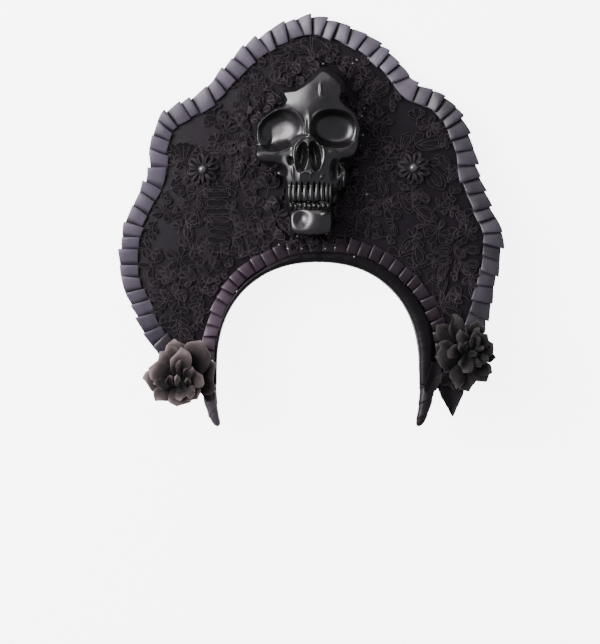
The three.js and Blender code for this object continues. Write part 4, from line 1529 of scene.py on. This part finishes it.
@dataclass
class LoopedFlower:
    """A raised flower of eight corded loops with a pearl in its middle."""

    name: str
    centre: Point
    turn: float
    reach: float = 11.9
    loops: int = 8
    floor: float = 6.6
    bead: float = 3.3
    eye_reach: float = 3.6
    eye_level: float = 8.0
    cord_mm: float = 0.9
    thread: Thread = Thread("flower_thread", (0.0165, 0.0128, 0.0160), 0.38)
    netting: Netting = Netting("flower_netting", (0.0055, 0.004, 0.0052), 0.8, 0.85)
    pearl: Glass = Glass("grey_pearl", (0.050, 0.046, 0.052), 0.2)

    def level(self, share: float) -> float:
        """Gives how high a loop stands at a share of its length."""
        return self.floor + 2.4 * math.sin(math.pi * min(0.15 + 0.75 * share, 1.0))

    def build(self) -> None:
        """Makes the loops, their net and the pearl."""
        dice = random.Random(self.name)
        loops: list[tuple[list[Vector], bool]] = []
        work = Workpiece(f"flower_net_{self.name}")
        for index in range(self.loops):
            angle = self.turn + math.tau * index / self.loops + dice.uniform(-0.06, 0.06)
            length = self.reach * dice.uniform(0.94, 1.06)
            for inset, lift in ((0.0, 0.0), (1.15, 0.2)):
                loops.append((self.petal(angle, length, inset, lift), True))
            outline = self.petal(angle, length, 0.4, -0.25)
            verts = [work.mesh.verts.new(point) for point in outline]
            work.paint(verts, dice.random())
            face = work.mesh.faces.new(verts)
            for vert in bmesh.ops.poke(work.mesh, faces=[face])["verts"]:
                vert.co.z -= 0.5
        eye = [walk(self.centre, math.tau * step / 16, self.eye_reach) for step in range(16)]
        loops.append(([Vector((*point, self.eye_level)) for point in eye], True))
        cords = cord_mesh(f"flower_cords_{self.name}", loops, self.cord_mm)
        settle(cords, self.thread.make(), "lace", [f"lace_flower_{self.name}"])
        work.face_up()
        work.hand_over(self.netting.make(), "lace")
        pearl = Workpiece(f"pearl_{self.name}")
        pearl.bead(Vector((*self.centre, self.floor + 3.2)), self.bead, 4)
        pearl.hand_over(self.pearl.make(), "bead_glass", [f"flower_bead_{self.name}"])

    def petal(self, angle: float, length: float, inset: float, lift: float) -> list[Vector]:
        """Gives the points of one loop.

        Args:
            angle: Its direction in radians.
            length: Its length.
            inset: How far inside its outline it runs.
            lift: How far it stands over the flower.

        Returns:
            The loop's points.
        """
        points = []
        steps = 22
        width = 0.27 * length - inset
        for step in range(steps):
            turn = math.tau * step / steps
            share = 0.5 - 0.5 * math.cos(turn)
            far = blend_between(2.6 + inset, length - inset, share)
            aside = width * math.sin(turn) * (0.35 + 0.75 * share)
            x, y = walk(self.centre, angle, far, aside)
            points.append(Vector((x, y, self.level(share) + lift)))
        return points


@dataclass
class SeedBeads:
    """Tiny glass seeds that glint in the lace."""

    ground: LaceGround
    radius: float = 0.75
    # Below this place up the crest the seeds lie on the inner ribbon, at its level.
    ribbon_reach: float = 14.0
    ribbon_level: float = 9.6
    finish: Glass = Glass("seed_glass", (0.22, 0.21, 0.22), 0.08)
    # Places in the photograph's frame of the seeds that stand out.
    places: tuple[Point, ...] = (
        (279, 245), (288, 249), (302, 249), (325, 249), (335, 248), (354, 257), (297.5, 236.6),
        (356.7, 60.5), (352.5, 64.3), (364, 109), (361.7, 117), (362.5, 136), (366.7, 194.7),
        (323, 64.7), (270.8, 168.8),
    )

    def build(self) -> None:
        """Sets the seeds on the lace."""
        work = Workpiece("seed_beads")
        for across, down in self.places:
            x, y = from_photo(across, down)
            level = self.ribbon_level if y < self.ribbon_reach else self.ground.level(x, y) + 0.9
            work.bead(Vector((x, y, level)), self.radius)
        work.hand_over(self.finish.make(), "bead_glass")


# Skull


class Form(Enum):
    """How a form of the skull changes its relief."""

    BULGE = "bulge"
    HOLLOW = "hollow"
    RIDGE = "ridge"


@dataclass(frozen=True)
class Bone:
    """One form of the relief; places in the photograph's frame, levels in millimetres."""

    form: Form
    across: float
    down: float
    wide: float
    tall: float
    level: float
    depth: float
    power: float = 1.0
    square: float = 2.0
    turn: float = 0.0
    soft: float = 1.5
    tilt: Point = (0.0, 0.0)


BULGE, HOLLOW, RIDGE = Form

# The skull's rim in the photograph's frame, clockwise from its crown.
SKULL_RIM: tuple[Point, ...] = (
    (321.7, 67.2), (330, 69.7), (338.3, 76.3), (345, 84.7), (346.7, 93.8), (344.5, 98.5), (348.3, 106.3),
    (355, 113), (359, 122), (361, 130), (359.5, 141), (357.5, 151), (353, 158), (346.7, 162), (343, 166),
    (346.5, 171), (348, 178), (346, 186), (341.7, 189.7), (337.5, 192.5), (335, 201), (332.5, 206),
    (332, 211), (333, 222), (332, 233), (320, 235.5), (306, 235.8), (293.3, 234.3), (290, 230.5),
    (289.5, 220), (290, 212), (286.5, 206.5), (284.5, 200), (285.8, 192), (285.8, 184.7), (283.7, 178),
    (278.3, 174.7), (271.7, 169.7), (265, 166), (257.5, 161.3), (255, 156.3), (255.4, 148.8),
    (256.2, 139), (257, 126.3), (261.7, 119.2), (269.5, 112.6), (275.8, 108), (282, 105.8), (284.4, 101),
    (281.6, 95.5), (280.9, 91.8), (286, 90.2), (295, 89), (303.3, 83.8), (311, 77.4), (316, 71.5),
)


def teeth(
    edges: Sequence[float], down: float, tall: float, level: float, fullness: float
) -> tuple[Bone, ...]:
    """Gives a row of teeth on a curved jaw.

    Args:
        edges: Where each tooth ends and the next starts.
        down: The place of their middle.
        tall: Half their height.
        level: How far the middle teeth stand out.
        fullness: How wide they are for the room that they have.

    Returns:
        The teeth's forms.
    """
    rows = []
    for index, (left, right) in enumerate(zip(edges, edges[1:])):
        across = (left + right) / 2.0
        round_off = 0.009 * (across - (edges[0] + edges[-1]) / 2.0) ** 2
        wide = (right - left) * 0.5 * fullness
        uneven = 0.5 * math.sin(2.3 * index)
        middle, top = down + uneven, level - round_off
        rows.append(Bone(BULGE, across, middle, wide, tall, top, 2.2, 1.4, 2.4, uneven * 5.0, 0.4))
    return tuple(rows)


def roots(places: Sequence[float], down: float, tall: float, level: float) -> tuple[Bone, ...]:
    """Gives the dark gaps that narrow down from the gum between the teeth.

    Args:
        places: Where the gaps are.
        down: The place of their middle.
        tall: Half their height.
        level: How deep they go.

    Returns:
        The gaps' forms.
    """
    return tuple(
        Bone(HOLLOW, across, down - 1.5 * drop, 0.75 + 0.65 * drop, tall * (1.0 - 0.35 * drop), level,
                 7.0, 1.2, 1.8, 0.0, 0.5)
        for across in places
        for drop in (0.0, 1.0)
    )


SKULL_FORMS: tuple[Bone, ...] = (
    Bone(BULGE, 318, 106, 44, 42, 27.5, 9),
    Bone(BULGE, 322, 94, 30, 26, 28.6, 4.5, soft=3),
    Bone(BULGE, 262, 130, 14, 32, 19, 12),
    Bone(BULGE, 353, 131, 12, 34, 19, 12),
    Bone(BULGE, 288, 95, 11, 6, 23, 9),
    Bone(BULGE, 279, 111, 22, 7, 26, 8, 1, 2, 14, 3.5),
    Bone(BULGE, 338, 110, 24, 6.5, 26.5, 8, 1, 2, -9, 3.5),
    Bone(BULGE, 320.5, 91, 1.5, 7, 30.9, 1.8, soft=0.5),
    Bone(BULGE, 308, 176, 28, 24, 27.5, 9, 1.3),
    Bone(BULGE, 309, 154, 19, 22, 27.6, 7, 2.2, 2.2, 0, 3),
    Bone(BULGE, 309, 126, 4.6, 17, 29.2, 8, soft=2.5),
    Bone(BULGE, 266, 156, 26, 9, 26, 8, 1.2, 2, -3, 3),
    Bone(BULGE, 344, 152, 20, 10, 24, 8, 1, 2, 8, 3.5),
    Bone(BULGE, 290, 162, 13, 17, 26, 5, 1, 2, 12, 3),
    Bone(BULGE, 328, 160, 13, 17, 26, 5, 1, 2, -12, 3),
    Bone(HOLLOW, 280, 131, 24.3, 19.6, 15, 10.4, 1.6, 2.2, 24, 1.6, (0.19, 0.02)),
    Bone(HOLLOW, 334.5, 129.5, 23.5, 18.8, 15.8, 9.6, 2.3, 2.2, -6, 2, (-0.07, -0.05)),
    Bone(RIDGE, 280, 131, 24.3, 19.8, 0.8, 0.07, 1, 2.2, 24),
    Bone(RIDGE, 334.5, 129.5, 24.2, 19.3, 0.7, 0.07, 1, 2.3, -6),
    Bone(HOLLOW, 277, 173, 8, 8, 12, 9, soft=3),
    Bone(HOLLOW, 337, 173, 6.5, 13, 15, 8, soft=3),
    Bone(HOLLOW, 346, 164, 8, 5, 14, 8, soft=3),
    Bone(BULGE, 276.5, 166, 4.2, 5.5, 19, 6, 1, 2, -25, 1.6),
    Bone(BULGE, 343.8, 179, 3.6, 13, 17.5, 6, 1, 2, -6, 1.4),
    Bone(RIDGE, 309, 155, 15.4, 18, 1.2, 0.08, 1, 2.2),
    Bone(HOLLOW, 302.2, 157, 6, 15, 19.5, 7.5, 1, 2, -9, 0.5, (0.2, 0)),
    Bone(HOLLOW, 315.4, 156.5, 6, 15, 19.5, 7.5, 1, 2, 8, 0.5, (0.2, 0)),
    Bone(BULGE, 311, 174, 2.2, 5, 30.5, 4.5, soft=0.6),
    Bone(BULGE, 322, 177, 2, 4, 29, 4, 1, 2, -30, 0.6),
    Bone(HOLLOW, 290.3, 161, 3, 5, 22, 5, 1, 2, 10, 1.4),
    Bone(BULGE, 293, 172, 2.6, 10, 27.6, 3, 1, 2, 6, 1),
    Bone(BULGE, 300, 176, 2.4, 7, 27.9, 2.6, 1, 2, 2, 1),
    Bone(HOLLOW, 309, 194, 26, 10.5, 26, 4, 3, 4, 0, 0.8),
    *teeth((287.5, 291.5, 296.6, 302.2, 308.4, 314.2, 319.6, 324.4, 328.6, 332), 193.5, 9, 28.4, 1.08),
    *roots((291.5, 296.6, 302.2, 308.4, 314.2, 319.6, 324.4, 328.6), 187.5, 7, 22),
    Bone(HOLLOW, 309, 202.4, 25, 1.2, 19.5, 7, 1, 4, 0, 0.5),
    Bone(HOLLOW, 309, 206.6, 25, 3, 22.5, 7, 2, 4, 0, 0.5),
    *teeth(tuple(289.0 + 4.6 * index for index in range(10)), 206.2, 2.8, 26.4, 0.95),
    Bone(HOLLOW, 311, 209.4, 25, 1.3, 17, 9, 1, 4, 0, 0.5),
    Bone(BULGE, 311.5, 222.5, 23, 15, 26.6, 5, 2.2, 2.6, 0, 0.8),
    Bone(HOLLOW, 301, 218, 8.5, 10, 22.4, 4.6, soft=3.2, tilt=(0.03, 0)),
    Bone(BULGE, 324.5, 214, 3.4, 3, 27.3, 2.4, soft=1.4),
)


@dataclass
class SkullRelief:
    """The level of the skull's face over the crest."""

    forms: tuple[Bone, ...]
    rim: np.ndarray
    base: float = 10.0
    wall_reach: float = 3.0
    brow_reach: float = 4.5
    wall_height: float = 33.0
    wall_foot: float = 12.0
    wall_soft: float = 1.2

    @staticmethod
    def blend(one: np.ndarray, other: np.ndarray, soft: float, side: float) -> np.ndarray:
        """Takes the higher of two reliefs for a side of 1, or the lower for -1, with a soft seam."""
        return 0.5 * (one + other + side * np.sqrt((one - other) ** 2 + soft ** 2))

    def rim_gap(self, across: np.ndarray, down: np.ndarray) -> np.ndarray:
        """Gives the distance to the rim in the photograph's pixels."""
        start = self.rim
        step = np.roll(self.rim, -1, axis=0) - start
        gap = np.full(across.shape, 1e9)
        for (x, y), (dx, dy) in zip(start, step):
            share = ((across - x) * dx + (down - y) * dy) / (dx * dx + dy * dy)
            share = np.clip(share, 0.0, 1.0)
            gap = np.minimum(gap, np.hypot(across - x - share * dx, down - y - share * dy))
        return gap

    def level(self, across: np.ndarray, down: np.ndarray) -> np.ndarray:
        """Gives the relief at places in the photograph's frame.

        Args:
            across: Places across the frame.
            down: Places down the frame.

        Returns:
            Millimetres over the skull's floor.
        """
        level = np.full(across.shape, self.base)
        for form in self.forms:
            turn = math.radians(form.turn)
            dx, dy = across - form.across, down - form.down
            along = np.abs(dx * math.cos(turn) - dy * math.sin(turn)) / form.wide
            aside = np.abs(dx * math.sin(turn) + dy * math.cos(turn)) / form.tall
            reach = (along ** form.square + aside ** form.square) ** (2.0 / form.square)
            if form.form is Form.RIDGE:
                level = level + form.level * np.exp(-(((np.sqrt(reach) - 1.0) / form.depth) ** 2))
            elif form.form is Form.BULGE:
                cap = form.level - form.depth * np.minimum(reach, 30.0) ** form.power
                level = self.blend(level, cap, form.soft, 1.0)
            else:
                bowl = form.level + form.depth * np.minimum(reach, 30.0) ** form.power
                bowl = bowl + form.tilt[0] * dx + form.tilt[1] * dy
                level = self.blend(level, bowl, form.soft, -1.0)
        brow = np.interp(down, (99.0, 112.0), (1.0, 0.0)) * np.interp(across, (308.0, 332.0), (0.25, 1.0))
        reach = self.wall_reach + self.brow_reach * brow
        inward = np.clip(self.rim_gap(across, down) / reach, 0.0, 1.0)
        wall = self.wall_foot + (self.wall_height - self.wall_foot) * inward
        return np.maximum(self.blend(level, wall, self.wall_soft, -1.0), 0.0)


@dataclass
class Skull:
    """The cast resin skull on the crest."""

    centre: Point = (308.5, 150.0)
    columns: int = 440
    rings: int = 170
    floor: float = 5.8
    # How much a form 25 mm high is drawn towards the view's centre, as the camera sees it larger.
    closeness: float = 0.011
    finish: Resin = Resin("black_resin", (0.004, 0.0036, 0.004), 0.3)

    def rim(self) -> np.ndarray:
        """Gives even points of the rim, one for each column of the relief."""
        count, steps = len(SKULL_RIM), 12
        ring = np.array([
            spline_point([SKULL_RIM[(index + shift) % count] for shift in (-1, 0, 1, 2)], step / steps)
            for index in range(count)
            for step in range(steps)
        ])
        lengths = np.hypot(*(np.roll(ring, -1, axis=0) - ring).T)
        marks = np.concatenate([[0.0], np.cumsum(lengths)])
        wanted = np.arange(self.columns) / self.columns * marks[-1]
        closed_ring = np.vstack([ring, ring[:1]])
        return np.stack([np.interp(wanted, marks, closed_ring[:, axis]) for axis in (0, 1)], axis=1)

    def build(self) -> None:
        """Carves the relief on rays from the skull's middle to its rim."""
        rim = self.rim()
        relief = SkullRelief(SKULL_FORMS, np.array(SKULL_RIM, dtype=float))
        centre = np.array(self.centre)
        shares = (np.arange(self.rings + 1) / self.rings) ** 0.72
        spots = centre + (rim[None, :, :] - centre) * shares[:, None, None]
        levels = relief.level(spots[..., 0], spots[..., 1])
        work = Workpiece("resin_skull")

        def place(turn: float, out: float) -> Vector:
            """Gives the relief's point round the skull and out from its middle."""
            column = round(turn * self.columns) % self.columns
            ring = round(out * self.rings)
            across, down = spots[ring, column]
            level = float(levels[ring, column]) if ring < self.rings else 0.0
            x, y = from_photo(float(across), float(down))
            pull = 1.0 - self.closeness * level / 25.0
            x = VIEW_CENTRE[0] + (x - VIEW_CENTRE[0]) * pull
            y = VIEW_CENTRE[1] + (y - VIEW_CENTRE[1]) * pull
            wave = 0.12 * noise.noise(Vector((x * 0.12, y * 0.12, 4.0)))
            return Vector((x, y, self.floor + level + wave * min(level, 1.0)))

        work.grid(self.columns, self.rings, place, 0.5, closed=True)
        work.close_ends()
        work.hand_over(self.finish.make(), "skull_resin", ["skull"])


# Roses


@dataclass(frozen=True)
class Petal:
    """One petal as it is sewn on: root and tip in the photograph's frame, the rest in millimetres."""

    root: Point
    tip: Point
    width: float
    lift: float
    rise: float
    cup: float = 2.0
    curl: float = 1.0
    shade: float = 0.0


@dataclass
class Rose:
    """A loose cloth rose whose petals are sewn on one by one."""

    name: str
    node: str
    centre: Point
    floor: float
    seed: int
    finish: RoseCloth
    petals: tuple[Petal, ...]
    backing_reach: float = 19.0
    backing_petals: int = 7
    thickness: float = 0.45

    def build(self) -> None:
        """Cuts, cups and sets the petals over a low backing ring."""
        work = Workpiece(self.name)
        dice = random.Random(self.seed)
        for index in range(self.backing_petals):
            turn = math.tau * index / self.backing_petals + dice.uniform(-0.2, 0.2)
            reach = self.backing_reach * dice.uniform(0.85, 1.0)
            tip = walk(self.centre, turn, reach)
            # The low backing petals get painted shade.
            low = Petal(self.centre, tip, 17.0, 0.3, 1.6, 0.8, 0.5, 0.5)
            self.petal(work, low, self.centre, tip, dice)
        for petal in self.petals:
            self.petal(work, petal, from_photo(*petal.root), from_photo(*petal.tip), dice)
        work.face_up()
        piece = work.hand_over(self.finish.make(), "rose_fabric", [self.node])
        thicken(piece, self.thickness, 0.0)

    def petal(
        self, work: Workpiece, petal: Petal, root: Point, tip: Point, dice: random.Random
    ) -> None:
        """Sets one petal.

        Args:
            work: The rose so far.
            petal: Its measures.
            root: Where it starts on the crest.
            tip: Where it ends on the crest.
            dice: Where its small differences come from.
        """
        start, end = Vector((*root, 0.0)), Vector((*tip, 0.0))
        ahead = end - start
        aside = Vector((-ahead.y, ahead.x, 0.0)).normalized()
        phase, blunt = dice.uniform(0.0, 6.28), dice.uniform(3.4, 6.0)
        lean, sway = dice.uniform(-0.3, 0.3), dice.uniform(-1.6, 1.6)
        wave_size, corner = dice.uniform(0.7, 1.5), dice.uniform(-0.14, 0.14)

        def place(across: float, share: float) -> Vector:
            """Gives the petal's point across its width and along it."""
            side = 2.0 * across - 1.0
            outline = math.sin(math.pi * (0.14 + 0.46 * share)) ** 0.9
            outline *= 1.0 + 0.06 * math.sin(7.0 * share + phase + side)
            taper = 1.0 - 0.86 * max((share - 0.6) / 0.4, 0.0) ** blunt
            half = petal.width / 2.0 * outline * taper
            reach = share * (1.0 - 0.08 * side * side + corner * side * share)
            spot = start + ahead * reach + aside * (side * half + sway * math.sin(math.pi * share))
            level = petal.lift + petal.rise * math.sin(math.pi / 2.0 * min(share * 1.2, 1.0))
            level -= petal.curl * max(share - 0.7, 0.0) ** 2 * 24.0
            level += 1.5 * petal.cup * side * side * math.sin(math.pi * min(share * 0.9 + 0.1, 1.0))
            level -= 4.5 * abs(petal.cup) * max(abs(side) - 0.7, 0.0) * share
            level += lean * side * half * share
            level += wave_size * math.sin(3.4 * side + phase + 2.5 * share) * share ** 2
            level += 0.7 * noise.noise(Vector((spot.x * 0.3, spot.y * 0.3, phase)))
            return Vector((spot.x, spot.y, self.floor + max(level, 0.2)))

        def tone(across: float, share: float) -> float:
            """Gives the tone there: painted shade towards the root, and paler towards the tip and the edges,
            partly painted highlight.
            """
            rim = abs(2.0 * across - 1.0) ** 4 * share
            body = 0.62 * share ** 1.8 + 0.34 * share ** 7 + 0.32 * rim
            return max(min(0.02 + body, 1.0) - petal.shade, 0.0)

        work.grid(12, 12, place, tone, (petal.width, ahead.length))


# The left rose, from its back to its heart.
LEFT_ROSE: tuple[Petal, ...] = (
    Petal((192, 380), (217, 388), 15, 0.6, 2.6, 0.6, 0.4, 0.3),
    Petal((192, 379), (217, 366), 17, 1.2, 3.6, -0.8, 0.5, 0.14),
    Petal((182, 370), (176, 339), 17, 1.2, 4, -0.8, 0.5, 0.1),
    Petal((178, 371), (167, 345), 12, 2, 4.4, 0.8, 0.6, 0.04),
    Petal((172, 380), (144, 379), 17, 1.6, 4, -1, 0.8, 0.04),
    Petal((175, 383), (157, 401), 14, 2, 4.2, -0.9, 0.7),
    Petal((180, 385), (178, 406), 18, 2.4, 4, 1, 0.8),
    Petal((184, 383), (198, 399), 14, 3, 4.4, -1, 0.7, 0.05),
    Petal((178, 374), (160, 352), 14, 3, 5.4, -1.2, 0.9),
    Petal((187, 378), (202, 340), 23, 3.6, 6.8, 1.6, 1.2, 0.18),
    Petal((176, 378), (149, 368), 17, 4, 6.2, -1.8, 1.5),
    Petal((174, 381), (155, 384), 9, 5, 3.2, 1, 0.4, 0.3),
    Petal((187, 384), (203, 374), 15, 5, 6.6, 2.2, 0.8, 0.02),
    Petal((184, 388), (196, 394), 10, 5.4, 4.8, 1.4, 0.6),
    Petal((180, 388), (182, 400), 9, 5.2, 4.4, -1, 0.5),
    Petal((182, 380), (181, 348), 17, 5.4, 9.4, 2.6, 2.2),
    Petal((181, 377), (177, 357), 9.5, 8.2, 7.2, -2, 1.8, -0.1),
    Petal((186, 381), (192, 366), 8, 7.4, 7.4, 1.6, 0.5, 0.16),
    Petal((174, 386), (170, 375), 6.5, 6.2, 5, 1.2, 0.3, 0.24),
    Petal((189, 388), (188, 377), 5, 7.2, 5, 1.2, 0.3, 0.16),
    Petal((178, 386), (178, 374), 4.6, 7.8, 5.6, -0.5, 0.2, -0.2),
)

# The right rose, from its back to its heart.
RIGHT_ROSE: tuple[Petal, ...] = (
    Petal((475, 358), (495, 358), 8, 0.8, 2, 0.4, 0.3, 0.2),
    Petal((462, 366), (440, 385), 13, 0.4, 2.6, 0.5, 0.4, 0.42),
    Petal((464, 366), (457, 392), 13, 0.3, 2, 0.5, 0.4, 0.45),
    Petal((466, 356), (445, 373), 12, 1.6, 3.4, 0.8, 0.5, 0.25),
    Petal((458, 347), (435, 325), 13.5, 1.4, 4.2, -0.8, 0.7, 0.1),
    Petal((464, 364), (469, 390), 15, 2, 4, -1, 0.7),
    Petal((468, 362), (485, 382), 12, 1.8, 4, 0.8, 0.6, 0.06),
    Petal((469, 360), (491, 373), 13, 2.4, 4.8, -1, 0.8),
    Petal((468, 345), (475, 320), 13, 2.4, 6.4, 1.4, 0.7),
    Petal((458, 351), (438, 342), 9.5, 3.2, 4.6, 0.9, 0.5),
    Petal((470, 355), (492, 343), 14, 3.2, 6.4, -1.4, 0.9, 0.05),
    Petal((462, 346), (451, 315), 12.5, 3.6, 8, 2, 0.5),
    Petal((461, 359), (434, 357), 16, 3.6, 6, -1.6, 1.2),
    Petal((462, 356), (446, 350), 12, 4.8, 6.2, 1.4, 0.9),
    Petal((460, 362), (454, 387), 12.5, 4.4, 6, -1.6, 1),
    Petal((470, 350), (486, 334), 11.5, 4.6, 6.8, 1.6, 0.8),
    Petal((473, 354), (486, 362), 10, 5.8, 6.2, -1.4, 0.7),
    Petal((468, 346), (478, 329), 8.5, 5.6, 7.4, -1.2, 0.6, 0.06),
    Petal((469, 354), (461, 371), 12, 6.2, 7, 2.6, 0.9),
    Petal((470, 355), (478, 367), 8.5, 6.4, 6.4, 1.8, 0.6, 0.05),
    Petal((467, 354), (459, 329), 10.5, 6.6, 8.6, -2.2, 0.8),
    Petal((466, 355), (458, 342), 7, 7.2, 7, 1.2, 0.4),
    Petal((471, 353), (474, 332), 8, 6.8, 8.2, 1.8, 0.5),
    Petal((470, 352), (482, 346), 7, 7.6, 6.2, -1, 0.3),
    Petal((466, 357), (476, 353), 5.5, 8, 5.6, 1, 0.2, 0.1),
    Petal((468, 353), (470, 338), 4.2, 8.6, 6.4, -0.5, 0.2),
    Petal((464, 352), (466, 341), 4, 8.2, 6, 0.6, 0.2, 0.15),
)


# Stage


@dataclass
class Stage:
    """The pale floor, the soft lights and the camera."""

    distance_mm: float = 2200.0
    view_height_mm: float = 644.0 * PIXEL
    sensor_mm: float = 24.0

    def build(self) -> None:
        """Sets up the floor, the air, the lights and the camera."""
        self.floor()
        self.air()
        self.light("window_left", (-1450.0, 520.0, 1150.0), 1.3, 58.0)
        self.light("window_wide", (-1500.0, 450.0, 1250.0), 2.6, 64.0)
        self.light("window_top", (-100.0, 1700.0, 1250.0), 1.6, 11.0)
        self.light("bounce_right", (1700.0, -150.0, 1300.0), 3.4, 4.0)
        self.camera()

    def floor(self) -> None:
        """Lays the floor, which no dark glossy piece mirrors."""
        sheet = bmesh.new()
        bmesh.ops.create_grid(sheet, x_segments=2, y_segments=2, size=6.0)
        data = bpy.data.meshes.new("ground")
        sheet.to_mesh(data)
        sheet.free()
        ground = bpy.data.objects.new("ground", data)
        ground.data.materials.append(Floor().make())
        bpy.context.scene.collection.objects.link(ground)
        ground.visible_glossy = False

    def air(self) -> None:
        """Fills the room with even pale light."""
        world = bpy.data.worlds.new("room")
        world.use_nodes = True
        sky = world.node_tree.nodes["Background"]
        sky.inputs["Color"].default_value = (0.98, 0.93, 1.0, 1.0)
        sky.inputs["Strength"].default_value = 0.4
        bpy.context.scene.world = world

    def light(self, name: str, spot: tuple[float, float, float], size: float, power: float) -> None:
        """Hangs one soft light that faces the crest.

        Args:
            name: Its name.
            spot: Its place in crest millimetres.
            size: Its breadth in metres.
            power: Its power in watts.
        """
        lamp = bpy.data.lights.new(name, "AREA")
        lamp.shape = "DISK"
        lamp.size = size
        lamp.energy = power
        lamp.color = (1.0, 0.96, 0.99)
        hung = bpy.data.objects.new(name, lamp)
        hung.location = CREST.place(*spot)
        aim = CREST.place(0.0, 40.0, 20.0) - hung.location
        hung.rotation_euler = aim.to_track_quat("-Z", "Y").to_euler()
        bpy.context.scene.collection.objects.link(hung)

    def camera(self) -> None:
        """Stands the camera square to the crest's face."""
        lens = bpy.data.cameras.new("view")
        lens.sensor_fit = "VERTICAL"
        lens.sensor_height = self.sensor_mm
        lens.lens = self.sensor_mm * self.distance_mm / self.view_height_mm
        lens.clip_end = 50.0
        eye = bpy.data.objects.new("view", lens)
        spot = CREST.place(*VIEW_CENTRE, self.distance_mm)
        eye.matrix_world = Matrix.Translation(spot) @ CREST.turn()
        bpy.context.scene.collection.objects.link(eye)
        bpy.context.scene.camera = eye


SCRAPS: tuple[SatinScrap, ...] = (
    SatinScrap(
        "satin_leaf", (99.4, -65.9), (105.0, -115.5), 10.2, 8.0, 1.7, 0.00074, "outer_pleats",
        ((0.0, 0.55), (0.3, 0.9), (0.56, 1.0), (0.68, 0.84), (0.8, 0.54), (0.9, 0.28), (1.0, 0.03)),
        ("satin_leaf_right",),
    ),
    SatinScrap(
        "satin_fold_right", (93.0, -75.5), (86.5, -97.5), 5.4, 10.0, 1.2, 0.00021, "padded_satin_roll",
        ((0.0, 0.7), (0.4, 1.0), (0.8, 0.95), (1.0, 0.6)),
    ),
    SatinScrap(
        "satin_fold_left", (-85.5, -88.5), (-75.5, -103.0), 5.1, 7.4, 1.0, 0.00016, "wrapped_tip_left",
        ((0.0, 0.8), (0.5, 1.0), (1.0, 0.75)),
    ),
)


def skull_rim_on_crest() -> np.ndarray:
    """Gives the skull's rim in crest millimetres, dense enough to measure from."""
    return np.array([from_photo(across, down) for across, down in Skull(columns=160).rim()])


def main() -> None:
    """Builds the stage and every piece in order."""
    logging.basicConfig(level=logging.INFO, format="%(message)s")
    lines, levels = CrestLines(), Levels()
    Stage().build()
    outline, arch = lines.outline(), lines.arch()
    roll = PaddedRoll(lines)
    ground = LaceGround(levels, skull_rim_on_crest())
    shares = [step / 300.0 for step in range(301)]
    beside_roll = [arch.beside(arch.length * share, roll.width_at(share) + 10.3) for share in shares]
    inner = Route((point.x, point.y) for point in beside_roll)
    ribbon = Satin("ribbon_satin", (0.043, 0.0368, 0.0505), 0.36, 0.95, 0.13, wrinkle=0.2, gloss=0.36)
    plum = Satin("plum_satin", (0.028, 0.0182, 0.0270), 0.34, 0.92, 0.14, wrinkle=0.2, gloss=0.32)
    pale_tip = Satin("pale_tip_satin", (0.030, 0.026, 0.032), 0.36, 0.5, 0.2, wrinkle=0.3)
    plum_tip = Satin("plum_tip_satin", (0.0085, 0.0060, 0.0078), 0.4, 0.5, 0.06, wrinkle=0.3, gloss=0.2)
    pale_cloth = RoseCloth("rose_cloth", (0.060, 0.046, 0.045), (0.205, 0.165, 0.160))
    dusk_cloth = RoseCloth("rose_cloth_dusk", (0.0140, 0.0120, 0.0116), (0.034, 0.030, 0.029))
    parts = (
        Panel(lines, levels),
        PleatedRibbon(
            "outer_pleats", "outer_pleat_trim", "ribbon_satin", outline,
            first=15.3, last=outline.length - 23.4, pitch=11.0, width=13.0, jut=1.5,
            floor=levels.ribbon_floor, finish=ribbon, seed=7,
            # Darker at the left end; painted shade over the right side from its upper part down, away from
            # the key light.
            tone_at=lambda share: (
                0.74 - 0.8 * ease((0.08 - share) / 0.05) - 0.76 * ease((share - 0.63) / 0.05)
            ),
        ),
        PleatedRibbon(
            "inner_pleats", "inner_pleat_trim", "inner_ribbon_satin", inner,
            first=inner.length - 19.7, last=19.7, pitch=9.5, width=10.0, jut=0.5,
            floor=levels.ribbon_floor, finish=plum, seed=19,
            # Painted light: lighter towards the left end, with painted shade over the right half.
            tone_at=lambda share: -0.12 + 1.25 * ease((share - 0.5) / 0.4),
            height_at=lambda share: 1.0 - 0.6 * ease((0.1 - abs(share - 0.5)) / 0.03),
        ),
        Headband(lines),
        roll,
        WrappedTip("wrapped_tip_left", "band_tip_left", -1, lines, pale_tip, 1.6),
        WrappedTip("wrapped_tip_right", "band_tip_right", 1, lines, plum_tip, 2.7),
        *SCRAPS,
        Lace(lines, ground, LaceFilling(lines, roll, ground)),
        LoopedFlower("left", from_photo(203, 170), 0.2),
        LoopedFlower("right", from_photo(413, 168.5), 0.5),
        Skull(),
        SeedBeads(ground),
        Rose("cloth_rose_left", "rose_left", (-98.5, -82.5), 7.9, 3, pale_cloth, LEFT_ROSE),
        Rose("cloth_rose_right", "rose_right", (115.5, -69.5), 9.4, 8, dusk_cloth, RIGHT_ROSE, 16.0),
    )
    for part in parts:
        part.build()


if __name__ == "__main__":
    main()
